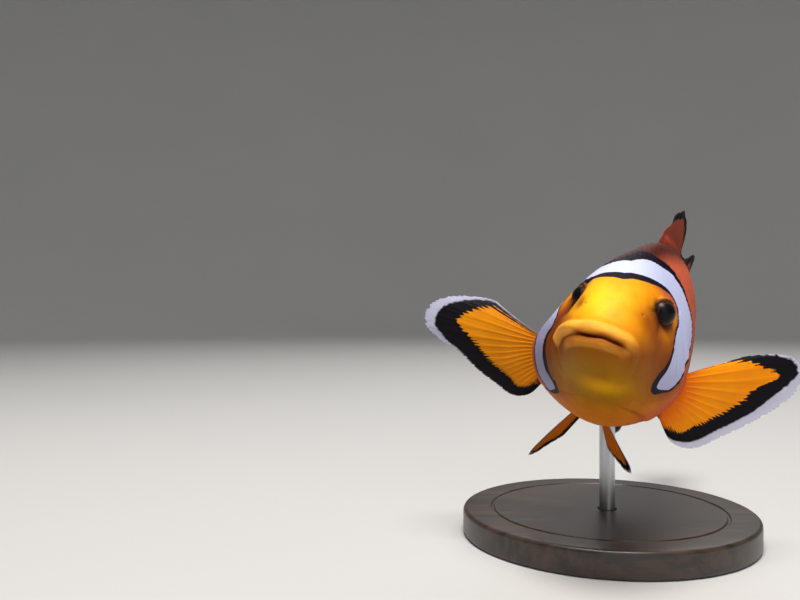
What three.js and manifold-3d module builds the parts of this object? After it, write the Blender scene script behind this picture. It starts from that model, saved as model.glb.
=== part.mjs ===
// Clownfish: a life-size still model of an adult fish on a plain display stand.
// Millimetres, +Z up. The fish heads towards -Y and its left side is on +X.
// The origin is the centre of the underside of the stand's base.
import * as THREE from 'three';
import * as BufferGeometryUtils from 'three/addons/utils/BufferGeometryUtils.js';
import Module from 'manifold-3d';

const wasm = await Module();
wasm.setup();

// ---------------------------------------------------------------- sizes
// Body coordinates: u runs back from the snout, y to the fish's left, z up.
const STANDARD_LENGTH = 74;
const TOTAL_LENGTH = 90;
const STATION = [0, 1.2, 4, 8, 13, 19, 26, 34, 44, 54, 62, 68, 74];
const BACK = [0.8, 3.5, 7, 10.7, 14, 16.9, 18.9, 19, 17.3, 12.9, 8.4, 6.4, 5.7];
const BELLY = [-0.8, -3.2, -6, -9.1, -12.3, -14.7, -15.4, -15.9, -14.7, -10.9, -7.2, -5.6, -5.2];
const HALF_WIDTH = [0.8, 4.1, 6.25, 8.05, 10.45, 12.5, 12.45, 11.4, 8.8, 6, 4.05, 2.95, 2.1];
const WIDEST_AT = [0, 0, -0.4, -1.5, -2.45, -3.2, -2.6, -1.8, -0.8, -0.4, 0, 0.2, 0.2];
// Section exponent: 2 is an ellipse, less is a sharper ridge, more is boxier.
const BACK_SHAPE_STATION = [0, 6, 10, 15, 20, 28, 44, 60];
const BACK_SHAPE = [2.1, 2.25, 1.92, 1.52, 1.32, 1.5, 1.8, 2];
const BELLY_SHAPE = 1.85;

// The swimming curve: the trunk swings to the fish's left, then straightens.
const SWING = 6;
const SWING_START = 14;
const SWING_LENGTH = 60;

// Pose on the stand. The head rolls a little less than the trunk does.
const HEADING = THREE.MathUtils.degToRad(19.7);
const NOSE_UP = THREE.MathUtils.degToRad(1.9);
const ROLL = THREE.MathUtils.degToRad(22.3);
const HEAD_TWIST = THREE.MathUtils.degToRad(10);
const TWIST_START = 8;
const TWIST_END = 30;
const GILL_FLARE = { reach: 1.35, u: 20, length: 6, z: -8, height: 7 };
const ROD_STATION = 41;
const BELLY_HEIGHT = 23;

const GAP = 0.3;
const RINGS = 36;
const RING_POINTS = 26;
// Larger than any half-width or half-depth of the body.
const BEYOND_SIDE = 20;
const BEYOND_EDGE = 40;

// The ball's centre lies this deep under the cheek, along its own axis; the right eye is drawn in.
const EYE = { u: 10.6, z: 6.35, radius: 2.35, depth: { left: 1.1, right: 2.45 }, axis: [-0.5, 0.85, 0.16] };
// Each lip is a rounded bar through these points, mirrored about the middle.
const LIP_UPPER = {
  corner: [4.8, 6.4, -2.2],
  side: [2.1, 4.7, 1.1],
  middle: [0.6, 0, 2],
  radius: 1.1,
};
const LIP_LOWER = {
  corner: [4.3, 4.7, -3],
  side: [1.5, 3.2, -0.9],
  middle: [0.4, 0, -0.5],
  radius: 0.8,
};

// Gill cover: an egg in side view, cut from the outside of the body.
const COVER = { u: 18, z: -3, length: 4.8, height: 8.6, lean: 0.12, thickness: 2.2, inner: 1 };
const COVER_CORNERS = 20;

// Lines (u, z) that part the fish, in side view.
const GILL_LINE = [[18.5, 24], [22.6, 9], [23.8, 0], [23.4, -8], [19.5, -20]];
const TAIL_LINE = [[61, 24], [62.5, 0], [61, -24]];
const MOUTH_LINE = [[-4, 0.55], [2.6, 0.45], [5.6, -1.6]];
const JAW_BACK_LINE = [[5.6, -1.6], [7.4, -5], [9.6, -14]];
const JAW_FRONT_BELOW = [-4, -14];

const FIN_ROOT_THICKNESS = 0.9;
const FIN_EDGE_THICKNESS = 0.6;
const FIN_ROOT_DEPTH = 1.4;

const DORSAL = {
  station: [26, 30, 34, 37, 39.5, 42, 45.5, 48, 50, 52, 54, 57, 62],
  height: [1.4, 4, 6.6, 7.8, 7.3, 4.6, 2.4, 3.2, 4.6, 6.9, 5.8, 4.6, 3],
  notch: 45.5,
  lean: [6, 42],
  sway: [-0.31, 0.18],
};
const ANAL = {
  station: [46, 49, 52, 56, 60.5],
  height: [2.6, 5.8, 7.8, 8, 4.6],
  lean: [22, 48],
  sway: [0, 0],
};
const CAUDAL = {
  apex: 61,
  radius: 29,
  halfAngle: THREE.MathUtils.degToRad(24.5),
  cornerCut: 3.6,
  rootHalfHeight: 4.9,
};
// Pectoral blade: a fan about a point just inside the shoulder.
const PECTORAL = {
  station: 24,
  halfWidth: 12.5,
  apex: [-3, -5.5],
  rootTop: [-2.6, -2.9],
  rootBottom: [-3.8, -9],
  ray: [0, 0.08, 0.13, 0.19, 0.24, 0.3, 0.38, 0.49, 0.66, 0.8, 0.93, 1],
  cup: 2.2,
};
const PECTORAL_LEFT = {
  side: 1,
  topAngle: 46,
  bottomAngle: -81,
  sweep: 31,
  droop: 0,
  reach: [15.2, 24, 25.1, 23.6, 21.2, 18.3, 15.5, 13.1, 11.4, 9, 4.9, 4.3],
};
const PECTORAL_RIGHT = {
  side: -1,
  topAngle: 17,
  bottomAngle: -84,
  sweep: -12,
  droop: 1.6,
  reach: [15.2, 21.4, 24.8, 26.4, 26, 23.2, 18.8, 16.2, 13.7, 12.6, 10.2, 7],
};
const PELVIC = {
  rootFront: [25.5, 2.8, -14],
  rootRear: [28.6, 1.5, -14.5],
  ray: [0, 0.15, 0.35, 0.6, 0.85, 1],
  reach: [14, 16.6, 16, 13, 10.6, 9],
};
const PELVIC_LEFT = { side: 1, front: [0.55, 0.58, -0.59], rear: [0.6, 0.36, -0.71], scale: 0.76 };
const PELVIC_RIGHT = { side: -1, front: [0.45, 0.4, -0.8], rear: [0.62, 0.34, -0.7], scale: 1.05 };

const BASE_RADIUS = 28;
const BASE_HEIGHT = 5;
const BASE_CHAMFER = 0.8;
const ROD_RADIUS = 1.5;
const ROD_FOOT_DEPTH = 3.4;
const ROD_INTO_BODY = 9;

const COLOR = {
  orange: 0xd8721a,
  deepOrange: 0xc4621c,
  lip: 0xdf8a3a,
  white: 0xdcdcec,
  fin: 0xd98208,
  eye: 0x14121a,
  base: 0x2e2c2b,
  steel: 0xb9bcc0,
};

// ---------------------------------------------------------------- profiles
// A smooth curve through a table, with no overshoot between its stations.
function smoothTable(xs, ys) {
  const count = xs.length;
  const secant = [];
  for (let i = 0; i < count - 1; i += 1) {
    secant.push((ys[i + 1] - ys[i]) / (xs[i + 1] - xs[i]));
  }
  const slope = [secant[0]];
  for (let i = 1; i < count - 1; i += 1) {
    const before = secant[i - 1];
    const after = secant[i];
    slope.push(before * after > 0 ? (2 * before * after) / (before + after) : 0);
  }
  slope.push(secant[count - 2]);
  return (x) => {
    const at = THREE.MathUtils.clamp(x, xs[0], xs[count - 1]);
    let i = 0;
    while (i < count - 2 && at > xs[i + 1]) {
      i += 1;
    }
    const span = xs[i + 1] - xs[i];
    const t = (at - xs[i]) / span;
    const rise = t * t * (3 - 2 * t);
    return ys[i] * (1 - rise) + ys[i + 1] * rise
      + span * t * (1 - t) * ((1 - t) * slope[i] - t * slope[i + 1]);
  };
}

const backAt = smoothTable(STATION, BACK);
const bellyAt = smoothTable(STATION, BELLY);
const halfWidthAt = smoothTable(STATION, HALF_WIDTH);
const widestAt = smoothTable(STATION, WIDEST_AT);
const backShapeAt = smoothTable(BACK_SHAPE_STATION, BACK_SHAPE);

// Half-width of the body at station u and height z.
function sideAt(u, z) {
  const middle = widestAt(u);
  const above = z >= middle;
  const height = above ? backAt(u) - middle : middle - bellyAt(u);
  const exponent = above ? backShapeAt(u) : BELLY_SHAPE;
  const share = Math.min(1, Math.abs(z - middle) / height);
  return halfWidthAt(u) * (1 - share ** exponent) ** (1 / exponent);
}

// ---------------------------------------------------------------- placing
const turned = new THREE.Matrix4()
  .makeRotationZ(-HEADING)
  .multiply(new THREE.Matrix4().makeRotationX(-NOSE_UP))
  .multiply(new THREE.Matrix4().makeRotationY(ROLL))
  .multiply(new THREE.Matrix4().makeRotationZ(-Math.PI / 2));

// How far the right gill cover stands out as the fish breathes.
function gillFlare(u, y, z) {
  const along = ((u - GILL_FLARE.u) / GILL_FLARE.length) ** 2;
  const up = ((z - GILL_FLARE.z) / GILL_FLARE.height) ** 2;
  const onCover = THREE.MathUtils.smoothstep(-y, 0, 8) * (1 - THREE.MathUtils.smoothstep(-y, 13, 19));
  return GILL_FLARE.reach * Math.exp(-along - up) * onCover;
}

function swimPoint(u, y, z) {
  const phase = (Math.PI * Math.max(0, u - SWING_START)) / SWING_LENGTH;
  const offset = (SWING / 2) * (1 - Math.cos(phase));
  const slope = Math.atan((SWING / 2) * (Math.PI / SWING_LENGTH) * Math.sin(phase));
  const twist = HEAD_TWIST * (THREE.MathUtils.smoothstep(u, TWIST_START, TWIST_END) - 1);
  const side = y - gillFlare(u, y, z);
  const across = side * Math.cos(twist) + z * Math.sin(twist);
  const up = z * Math.cos(twist) - side * Math.sin(twist);
  const forward = -u + across * Math.sin(slope);
  const left = offset + across * Math.cos(slope);
  return new THREE.Vector3(forward, left, up).applyMatrix4(turned);
}

const rodEntry = swimPoint(ROD_STATION, 0, bellyAt(ROD_STATION));

// Body coordinates to the model's frame.
function place(u, y, z) {
  const point = swimPoint(u, y, z);
  return point.sub(rodEntry).add(new THREE.Vector3(0, 0, BELLY_HEIGHT));
}

// ---------------------------------------------------------------- solids
function mapVertices(geometry, mapping) {
  const position = geometry.attributes.position;
  for (let i = 0; i < position.count; i += 1) {
    const point = mapping(position.getX(i), position.getY(i), position.getZ(i));
    position.setXYZ(i, point.x, point.y, point.z);
  }
  return geometry;
}

function toSolid(geometry) {
  const bare = geometry.clone();
  bare.deleteAttribute('uv');
  bare.deleteAttribute('normal');
  const welded = BufferGeometryUtils.mergeVertices(bare, 1e-4);
  const vertProperties = new Float32Array(welded.attributes.position.array);
  const triVerts = new Uint32Array(welded.index.array);
  const solid = new wasm.Manifold(new wasm.Mesh({ numProp: 3, vertProperties, triVerts }));
  if (solid.volume() > 0) {
    return solid;
  }
  for (let i = 0; i < triVerts.length; i += 3) {
    [triVerts[i], triVerts[i + 1]] = [triVerts[i + 1], triVerts[i]];
  }
  return new wasm.Manifold(new wasm.Mesh({ numProp: 3, vertProperties, triVerts }));
}

// The whole body as one lofted form; grow moves its surface out or in.
function bodySolid(grow) {
  const sphere = new THREE.SphereGeometry(1, RING_POINTS, RINGS);
  mapVertices(sphere, (x, y, z) => {
    const along = (1 - y) / 2;
    const u = THREE.MathUtils.clamp(along, 0, 1) * STANDARD_LENGTH;
    const angle = Math.atan2(z, x);
    const ring = Math.hypot(x, z);
    if (ring < 1e-6) {
      return place(u + (along < 0.5 ? -grow : grow), 0, widestAt(u));
    }
    const above = z >= 0;
    const exponent = 2 / (above ? backShapeAt(u) : BELLY_SHAPE);
    const middle = widestAt(u);
    const width = halfWidthAt(u) + grow;
    const height = (above ? backAt(u) - middle : middle - bellyAt(u)) + grow;
    const across = Math.sign(Math.cos(angle)) * Math.abs(Math.cos(angle)) ** exponent;
    const up = Math.sign(Math.sin(angle)) * Math.abs(Math.sin(angle)) ** exponent;
    const stretched = u + grow * (2 * along - 1);
    return place(stretched, across * width, middle + up * height);
  });
  return toSolid(sphere);
}

// The main piece of a solid, without the thin flakes a cut can leave at an edge.
function mainPiece(solid) {
  const pieces = solid.decompose();
  return pieces.reduce((best, piece) => (piece.volume() > best.volume() ? piece : best));
}

// A side-view outline (u, z) run across the body between two y values.
function sidePrism(outline, yFrom, yTo) {
  const shape = new THREE.Shape(outline.map(([u, z]) => new THREE.Vector2(u, z)));
  const prism = new THREE.ExtrudeGeometry(shape, { depth: yTo - yFrom, bevelEnabled: false });
  return toSolid(mapVertices(prism, (u, z, depth) => place(u, yFrom + depth, z)));
}

// A thin wall standing on a side-view line, used to part two pieces.
function sideKerf(line) {
  const outline = [];
  for (const [u, z] of line) {
    outline.push([u - GAP / 2, z]);
  }
  for (const [u, z] of [...line].reverse()) {
    outline.push([u + GAP / 2, z]);
  }
  return sidePrism(outline, -BEYOND_SIDE, BEYOND_SIDE);
}

function ballSolid(u, y, z, radius) {
  const ball = new THREE.SphereGeometry(radius, 16, 10);
  return toSolid(mapVertices(ball, (a, b, c) => place(u + a, y + b, z + c)));
}

// A round bar along a lip, from one mouth corner over the middle to the other.
function lipSolid(lip, grow) {
  const [cornerU, cornerY, cornerZ] = lip.corner;
  const [sideU, sideY, sideZ] = lip.side;
  const path = new THREE.CatmullRomCurve3([
    new THREE.Vector3(cornerU, cornerY, cornerZ),
    new THREE.Vector3(sideU, sideY, sideZ),
    new THREE.Vector3(...lip.middle),
    new THREE.Vector3(sideU, -sideY, sideZ),
    new THREE.Vector3(cornerU, -cornerY, cornerZ),
  ]);
  const section = new THREE.Shape().absarc(0, 0, lip.radius + grow, 0, 2 * Math.PI);
  const options = { steps: 14, curveSegments: 4, extrudePath: path };
  const bar = new THREE.ExtrudeGeometry(section, options);
  return toSolid(mapVertices(bar, place));
}

// A thin blade between a root line and a margin line, both given for s from 0 to 1.
function bladeSolid(rootAt, marginAt, bowAt, acrossCount, alongCount) {
  const pointAt = (s, t) => {
    const root = rootAt(s);
    const margin = marginAt(s);
    return root.lerp(margin, t).add(bowAt(s, t));
  };
  const step = 0.01;
  const blade = new THREE.BoxGeometry(1, 1, 1, acrossCount, alongCount, 1);
  mapVertices(blade, (x, y, z) => {
    const s = x + 0.5;
    const t = y + 0.5;
    const across = pointAt(Math.min(1, s + step), t).sub(pointAt(Math.max(0, s - step), t));
    const along = pointAt(s, Math.min(1, t + step)).sub(pointAt(s, Math.max(0, t - step)));
    const normal = across.cross(along).normalize();
    const thickness = THREE.MathUtils.lerp(FIN_ROOT_THICKNESS, FIN_EDGE_THICKNESS, t);
    const point = pointAt(s, t).addScaledVector(normal, z * thickness);
    return place(point.x, point.y, point.z);
  });
  return toSolid(blade);
}

const flat = () => new THREE.Vector3();

// A median fin standing on the back (side 1) or hanging from the belly (side -1).
function medianFin(fin, from, to, edgeAt, side, count) {
  const heightAt = smoothTable(fin.station, fin.height);
  const first = fin.station[0];
  const last = fin.station[fin.station.length - 1];
  const stationAt = (s) => THREE.MathUtils.lerp(from, to, s);
  const rootAt = (s) => {
    const u = stationAt(s);
    return new THREE.Vector3(u, 0, edgeAt(u) - side * FIN_ROOT_DEPTH);
  };
  const marginAt = (s) => {
    const u = stationAt(s);
    const share = (u - first) / (last - first);
    const degrees = THREE.MathUtils.lerp(fin.lean[0], fin.lean[1], share ** 2);
    const lean = THREE.MathUtils.degToRad(degrees);
    const height = heightAt(u);
    const across = THREE.MathUtils.lerp(fin.sway[0], fin.sway[1], share) * height;
    return new THREE.Vector3(u + height * Math.tan(lean), across, edgeAt(u) + side * height);
  };
  return bladeSolid(rootAt, marginAt, flat, count, 3);
}

function caudalFin() {
  const angleAt = (s) => CAUDAL.halfAngle * (1 - 2 * s);
  const rootAt = (s) => {
    const z = CAUDAL.rootHalfHeight * (1 - 2 * s);
    return new THREE.Vector3(STANDARD_LENGTH + GAP, 0, z + widestAt(STANDARD_LENGTH));
  };
  const marginAt = (s) => {
    const angle = angleAt(s);
    const edge = Math.abs(1 - 2 * s) ** 5;
    const radius = CAUDAL.radius - CAUDAL.cornerCut * edge;
    return new THREE.Vector3(CAUDAL.apex + radius * Math.cos(angle), 0, radius * Math.sin(angle));
  };
  return bladeSolid(rootAt, marginAt, flat, 14, 3);
}

function pectoralFin(pose) {
  const reachAt = smoothTable(PECTORAL.ray, pose.reach);
  const sweep = THREE.MathUtils.degToRad(pose.sweep);
  const onBlade = (out, z) => new THREE.Vector3(
    PECTORAL.station + out * Math.sin(sweep),
    pose.side * (PECTORAL.halfWidth + out * Math.cos(sweep)),
    z,
  );
  const rootAt = (s) => onBlade(
    THREE.MathUtils.lerp(PECTORAL.rootTop[0], PECTORAL.rootBottom[0], s),
    THREE.MathUtils.lerp(PECTORAL.rootTop[1], PECTORAL.rootBottom[1], s),
  );
  const marginAt = (s) => {
    const degrees = THREE.MathUtils.lerp(pose.topAngle, pose.bottomAngle, s);
    const angle = THREE.MathUtils.degToRad(degrees);
    return onBlade(
      PECTORAL.apex[0] + reachAt(s) * Math.cos(angle),
      PECTORAL.apex[1] + reachAt(s) * Math.sin(angle),
    );
  };
  const bowAt = (s, t) => {
    const droop = pose.droop * (1 - t * t) * (1 - s) ** 3;
    return new THREE.Vector3(PECTORAL.cup * t * t, 0, -droop);
  };
  return bladeSolid(rootAt, marginAt, bowAt, 18, 5);
}

function pelvicFin(pose) {
  const reachAt = smoothTable(PELVIC.ray, PELVIC.reach);
  const mirrored = ([u, y, z]) => new THREE.Vector3(u, pose.side * y, z);
  const rootAt = (s) => mirrored(PELVIC.rootFront).lerp(mirrored(PELVIC.rootRear), s);
  const marginAt = (s) => {
    const direction = mirrored(pose.front).lerp(mirrored(pose.rear), s).normalize();
    return rootAt(s).addScaledVector(direction, reachAt(s) * pose.scale);
  };
  return bladeSolid(rootAt, marginAt, flat, 8, 4);
}

// ---------------------------------------------------------------- fish
const body = bodySolid(0);
const bodyClear = bodySolid(GAP);
const underCover = bodySolid(-COVER.thickness);
const underCoverClear = bodySolid(-COVER.thickness - GAP);

// An eyeball set into the side of the head along its own axis.
function eyeBall(side, radius) {
  const [axisU, axisY, axisZ] = EYE.axis;
  const depth = side > 0 ? EYE.depth.left : EYE.depth.right;
  const y = sideAt(EYE.u, EYE.z) - depth * axisY;
  return ballSolid(EYE.u - depth * axisU, side * y, EYE.z - depth * axisZ, radius);
}

const sockets = eyeBall(1, EYE.radius + GAP).add(eyeBall(-1, EYE.radius + GAP));

const socketRadius = ROD_RADIUS + GAP;
const rodHole = toSolid(
  new THREE.CylinderGeometry(socketRadius, socketRadius, 2 * ROD_INTO_BODY, 16)
    .rotateX(Math.PI / 2)
    .translate(0, 0, BELLY_HEIGHT + GAP),
);

function coverPrism(side, grow) {
  const outline = [];
  for (let i = 0; i < COVER_CORNERS; i += 1) {
    const angle = (2 * Math.PI * i) / COVER_CORNERS;
    const lean = COVER.lean * COVER.height * Math.sin(angle);
    const u = COVER.u + lean + (COVER.length + grow) * Math.cos(angle);
    outline.push([u, COVER.z + (COVER.height + grow) * Math.sin(angle)]);
  }
  const inner = COVER.inner - grow;
  return side > 0
    ? sidePrism(outline, inner, BEYOND_SIDE)
    : sidePrism(outline, -BEYOND_SIDE, -inner);
}

function coverPlate(side) {
  return body.intersect(coverPrism(side, 0)).subtract(underCover);
}

function coverSeat(side) {
  return coverPrism(side, GAP).subtract(underCoverClear);
}

const lipUpper = lipSolid(LIP_UPPER, 0);
const lipLower = lipSolid(LIP_LOWER, 0).subtract(lipSolid(LIP_UPPER, GAP));
const lipSeats = lipSolid(LIP_UPPER, GAP).add(lipSolid(LIP_LOWER, GAP));

// The mouth opening: a slit that follows the mouth line to the jaw joint.
const mouthSlit = sidePrism([
  ...MOUTH_LINE.map(([u, z]) => [u, z + GAP / 2]),
  ...[...MOUTH_LINE].reverse().map(([u, z]) => [u, z - GAP / 2]),
], -BEYOND_SIDE, BEYOND_SIDE);

const cut = body
  .subtract(sockets)
  .subtract(rodHole)
  .subtract(coverSeat(1))
  .subtract(coverSeat(-1))
  .subtract(lipSeats)
  .subtract(sideKerf(GILL_LINE))
  .subtract(sideKerf(TAIL_LINE))
  .subtract(sideKerf(JAW_BACK_LINE))
  .subtract(mouthSlit);

// Side-view region in front of or behind the parting lines.
const region = (outline) => sidePrism(outline, -BEYOND_SIDE, BEYOND_SIDE);
const aheadOfGills = region([
  [-BEYOND_EDGE, BEYOND_EDGE],
  ...GILL_LINE,
  [-BEYOND_EDGE, -BEYOND_EDGE],
]);
const behindTailLine = region([
  ...TAIL_LINE,
  [TOTAL_LENGTH, -BEYOND_EDGE],
  [TOTAL_LENGTH, BEYOND_EDGE],
]);
const jawRegion = region([...MOUTH_LINE, ...JAW_BACK_LINE.slice(1), JAW_FRONT_BELOW]);

const head = mainPiece(cut.intersect(aheadOfGills).subtract(jawRegion));
const lowerJaw = mainPiece(cut.intersect(jawRegion));
const tailStem = mainPiece(cut.intersect(behindTailLine));
const trunk = mainPiece(cut.subtract(aheadOfGills).subtract(behindTailLine));

const notch = DORSAL.notch;
const dorsalEnd = DORSAL.station[DORSAL.station.length - 1];
const analEnd = ANAL.station[ANAL.station.length - 1];
const fins = {
  dorsal_fin_spiny: medianFin(DORSAL, DORSAL.station[0], notch, backAt, 1, 12),
  dorsal_fin_soft: medianFin(DORSAL, notch + GAP, dorsalEnd, backAt, 1, 10),
  anal_fin: medianFin(ANAL, ANAL.station[0], analEnd, bellyAt, -1, 10),
  caudal_fin: caudalFin(),
  pectoral_fin_left: pectoralFin(PECTORAL_LEFT),
  pectoral_fin_right: pectoralFin(PECTORAL_RIGHT),
  pelvic_fin_left: pelvicFin(PELVIC_LEFT),
  pelvic_fin_right: pelvicFin(PELVIC_RIGHT),
};

// ---------------------------------------------------------------- stand
const socketFloor = BASE_HEIGHT - ROD_FOOT_DEPTH;
const standBase = new THREE.LatheGeometry([
  new THREE.Vector2(0, 0),
  new THREE.Vector2(BASE_RADIUS - BASE_CHAMFER, 0),
  new THREE.Vector2(BASE_RADIUS, BASE_CHAMFER),
  new THREE.Vector2(BASE_RADIUS, BASE_HEIGHT - BASE_CHAMFER),
  new THREE.Vector2(BASE_RADIUS - BASE_CHAMFER, BASE_HEIGHT),
  new THREE.Vector2(socketRadius, BASE_HEIGHT),
  new THREE.Vector2(socketRadius, socketFloor),
  new THREE.Vector2(0, socketFloor),
], 40).rotateX(Math.PI / 2);

const rodBottom = socketFloor + GAP;
const rodTop = BELLY_HEIGHT + ROD_INTO_BODY - GAP;
const standRod = new THREE.CylinderGeometry(ROD_RADIUS, ROD_RADIUS, rodTop - rodBottom, 20)
  .rotateX(Math.PI / 2)
  .translate(0, 0, (rodTop + rodBottom) / 2);

// ---------------------------------------------------------------- group
const group = new THREE.Group();
group.name = 'clownfish_on_stand';

function addNode(name, solid, color, roughness, metalness = 0) {
  const { vertProperties, triVerts } = solid.getMesh();
  const geometry = new THREE.BufferGeometry();
  geometry.setAttribute('position', new THREE.BufferAttribute(new Float32Array(vertProperties), 3));
  geometry.setIndex(new THREE.BufferAttribute(new Uint32Array(triVerts), 1));
  geometry.computeVertexNormals();
  const material = new THREE.MeshStandardMaterial({ color, roughness, metalness });
  const mesh = new THREE.Mesh(geometry, material);
  mesh.name = name;
  group.add(mesh);
}

addNode('head', head, COLOR.orange, 0.45);
addNode('lower_jaw', lowerJaw, COLOR.deepOrange, 0.45);
addNode('lip_upper', lipUpper, COLOR.lip, 0.4);
addNode('lip_lower', lipLower, COLOR.lip, 0.4);
addNode('gill_cover_left', coverPlate(1), COLOR.white, 0.45);
addNode('gill_cover_right', coverPlate(-1), COLOR.white, 0.45);
addNode('trunk', trunk, COLOR.deepOrange, 0.45);
addNode('tail_stem', tailStem, COLOR.deepOrange, 0.45);
addNode('eye_left', eyeBall(1, EYE.radius), COLOR.eye, 0.1);
addNode('eye_right', eyeBall(-1, EYE.radius), COLOR.eye, 0.1);
for (const [name, fin] of Object.entries(fins)) {
  addNode(name, fin.subtract(bodyClear), COLOR.fin, 0.5);
}
addNode('stand_base', toSolid(standBase), COLOR.base, 0.5);
addNode('stand_rod', toSolid(standRod), COLOR.steel, 0.3, 1);

export default group;
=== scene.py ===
"""Clownfish on a display stand: skin, scales, fins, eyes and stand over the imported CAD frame.

Shapes are worked out in body coordinates, in millimetres: u runs back from the snout,
y to the fish's left and z up. place() bends and turns them into the model's frame.
A place on the skin is also given by its station u and its girth share q, which runs from
0 at the belly's midline to 0.5 at the back's. Side 1 is the fish's left, -1 its right.
"""

import bpy
import mathutils
import numpy as np
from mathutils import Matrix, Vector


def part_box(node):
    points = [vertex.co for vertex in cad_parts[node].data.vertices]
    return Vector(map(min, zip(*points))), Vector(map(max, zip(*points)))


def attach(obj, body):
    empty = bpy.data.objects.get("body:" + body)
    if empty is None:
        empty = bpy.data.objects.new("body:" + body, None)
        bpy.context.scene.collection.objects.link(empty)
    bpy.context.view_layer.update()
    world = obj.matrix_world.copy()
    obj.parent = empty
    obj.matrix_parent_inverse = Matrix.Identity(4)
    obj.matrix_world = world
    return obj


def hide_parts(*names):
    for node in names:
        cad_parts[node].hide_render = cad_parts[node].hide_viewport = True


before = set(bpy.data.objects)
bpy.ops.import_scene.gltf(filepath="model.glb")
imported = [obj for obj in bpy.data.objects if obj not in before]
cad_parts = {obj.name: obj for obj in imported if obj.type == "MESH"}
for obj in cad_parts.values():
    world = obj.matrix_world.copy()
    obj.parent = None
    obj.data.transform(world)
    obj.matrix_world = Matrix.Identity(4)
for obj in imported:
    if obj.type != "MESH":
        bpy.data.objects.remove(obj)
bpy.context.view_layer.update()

# ---------------- sizes, as in the CAD
MM = 0.001
BODY_LENGTH = 74.0
STATION = [0, 1.2, 4, 8, 13, 19, 26, 34, 44, 54, 62, 68, 74]
BACK = [0.8, 3.5, 7, 10.7, 14, 16.9, 18.9, 19, 17.3, 12.9, 8.4, 6.4, 5.7]
BELLY = [-0.8, -3.2, -6, -9.1, -12.3, -14.7, -15.4, -15.9, -14.7, -10.9, -7.2, -5.6, -5.2]
HALF_WIDTH = [0.8, 4.1, 6.25, 8.05, 10.45, 12.5, 12.45, 11.4, 8.8, 6, 4.05, 2.95, 2.1]
WIDEST_AT = [0, 0, -0.4, -1.5, -2.45, -3.2, -2.6, -1.8, -0.8, -0.4, 0, 0.2, 0.2]
BACK_SHAPE_STATION = [0, 6, 10, 15, 20, 28, 44, 60]
BACK_SHAPE = [2.1, 2.25, 1.92, 1.52, 1.32, 1.5, 1.8, 2]
BELLY_SHAPE = 1.85

SWING = 6
SWING_START = 14
SWING_LENGTH = 60
HEADING = np.radians(19.7)
NOSE_UP = np.radians(1.9)
ROLL = np.radians(22.3)
HEAD_TWIST = np.radians(10)
TWIST_START = 8
TWIST_END = 30
GILL_FLARE = 1.35
GILL_FLARE_AT = (20, -8)
GILL_FLARE_SPREAD = (6, 7)
GILL_FLARE_INNER = (0, 8)
GILL_FLARE_OUTER = (13, 19)
ROD_STATION = 41
BELLY_HEIGHT = 23

EYE_U = 10.6
EYE_Z = 6.35
EYE_RADIUS = 2.35
EYE_DEPTH = {1: 1.1, -1: 2.45}
EYE_AXIS = np.array([-0.5, 0.85, 0.16])

DORSAL = dict(
    station=[26, 30, 34, 37, 39.5, 42, 45.5, 48, 50, 52, 54, 57, 62],
    height=[1.4, 4, 6.6, 7.8, 7.3, 4.6, 2.4, 3.2, 4.6, 6.9, 5.8, 4.6, 3],
    lean=(6, 42),
    sway=(-0.31, 0.18),
    side=1,
)
ANAL = dict(
    station=[46, 49, 52, 56, 60.5],
    height=[2.6, 5.8, 7.8, 8, 4.6],
    lean=(22, 48),
    sway=(0, 0),
    side=-1,
)
FIN_ROOT_DEPTH = 1.4
CAUDAL_APEX = 61
CAUDAL_RADIUS = 29
CAUDAL_HALF_ANGLE = np.radians(24.5)
CAUDAL_CORNER_CUT = 3.6
CAUDAL_ROOT_HALF_HEIGHT = 4.9
PECTORAL_STATION = 24
PECTORAL_HALF_WIDTH = 12.5
PECTORAL_APEX = (-3, -5.5)
PECTORAL_ROOT_TOP = (-2.6, -2.9)
PECTORAL_ROOT_BOTTOM = (-3.8, -9)
PECTORAL_RAY = [0, 0.08, 0.13, 0.19, 0.24, 0.3, 0.38, 0.49, 0.66, 0.8, 0.93, 1]
PECTORAL_CUP = 2.2
PECTORAL_POSE = {
    "left": dict(
        side=1, top=46, bottom=-81, sweep=31, droop=0,
        reach=[15.2, 24, 25.1, 23.6, 21.2, 18.3, 15.5, 13.1, 11.4, 9, 4.9, 4.3],
    ),
    "right": dict(
        side=-1, top=17, bottom=-84, sweep=-12, droop=1.6,
        reach=[15.2, 21.4, 24.8, 26.4, 26, 23.2, 18.8, 16.2, 13.7, 12.6, 10.2, 7],
    ),
}
PELVIC_ROOT_FRONT = (25.5, 2.8, -14.0)
PELVIC_ROOT_REAR = (28.6, 1.5, -14.5)
PELVIC_RAY = [0, 0.15, 0.35, 0.6, 0.85, 1]
PELVIC_REACH = [14, 16.6, 16, 13, 10.6, 9]
PELVIC_POSE = {
    "left": dict(side=1, front=(0.55, 0.58, -0.59), rear=(0.6, 0.36, -0.71), scale=0.76),
    "right": dict(side=-1, front=(0.45, 0.4, -0.8), rear=(0.62, 0.34, -0.7), scale=1.05),
}

BASE_RADIUS = 28
BASE_HEIGHT = 5
BASE_CHAMFER = 0.8
ROD_RADIUS = 1.5

# ---------------- body shape


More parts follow.
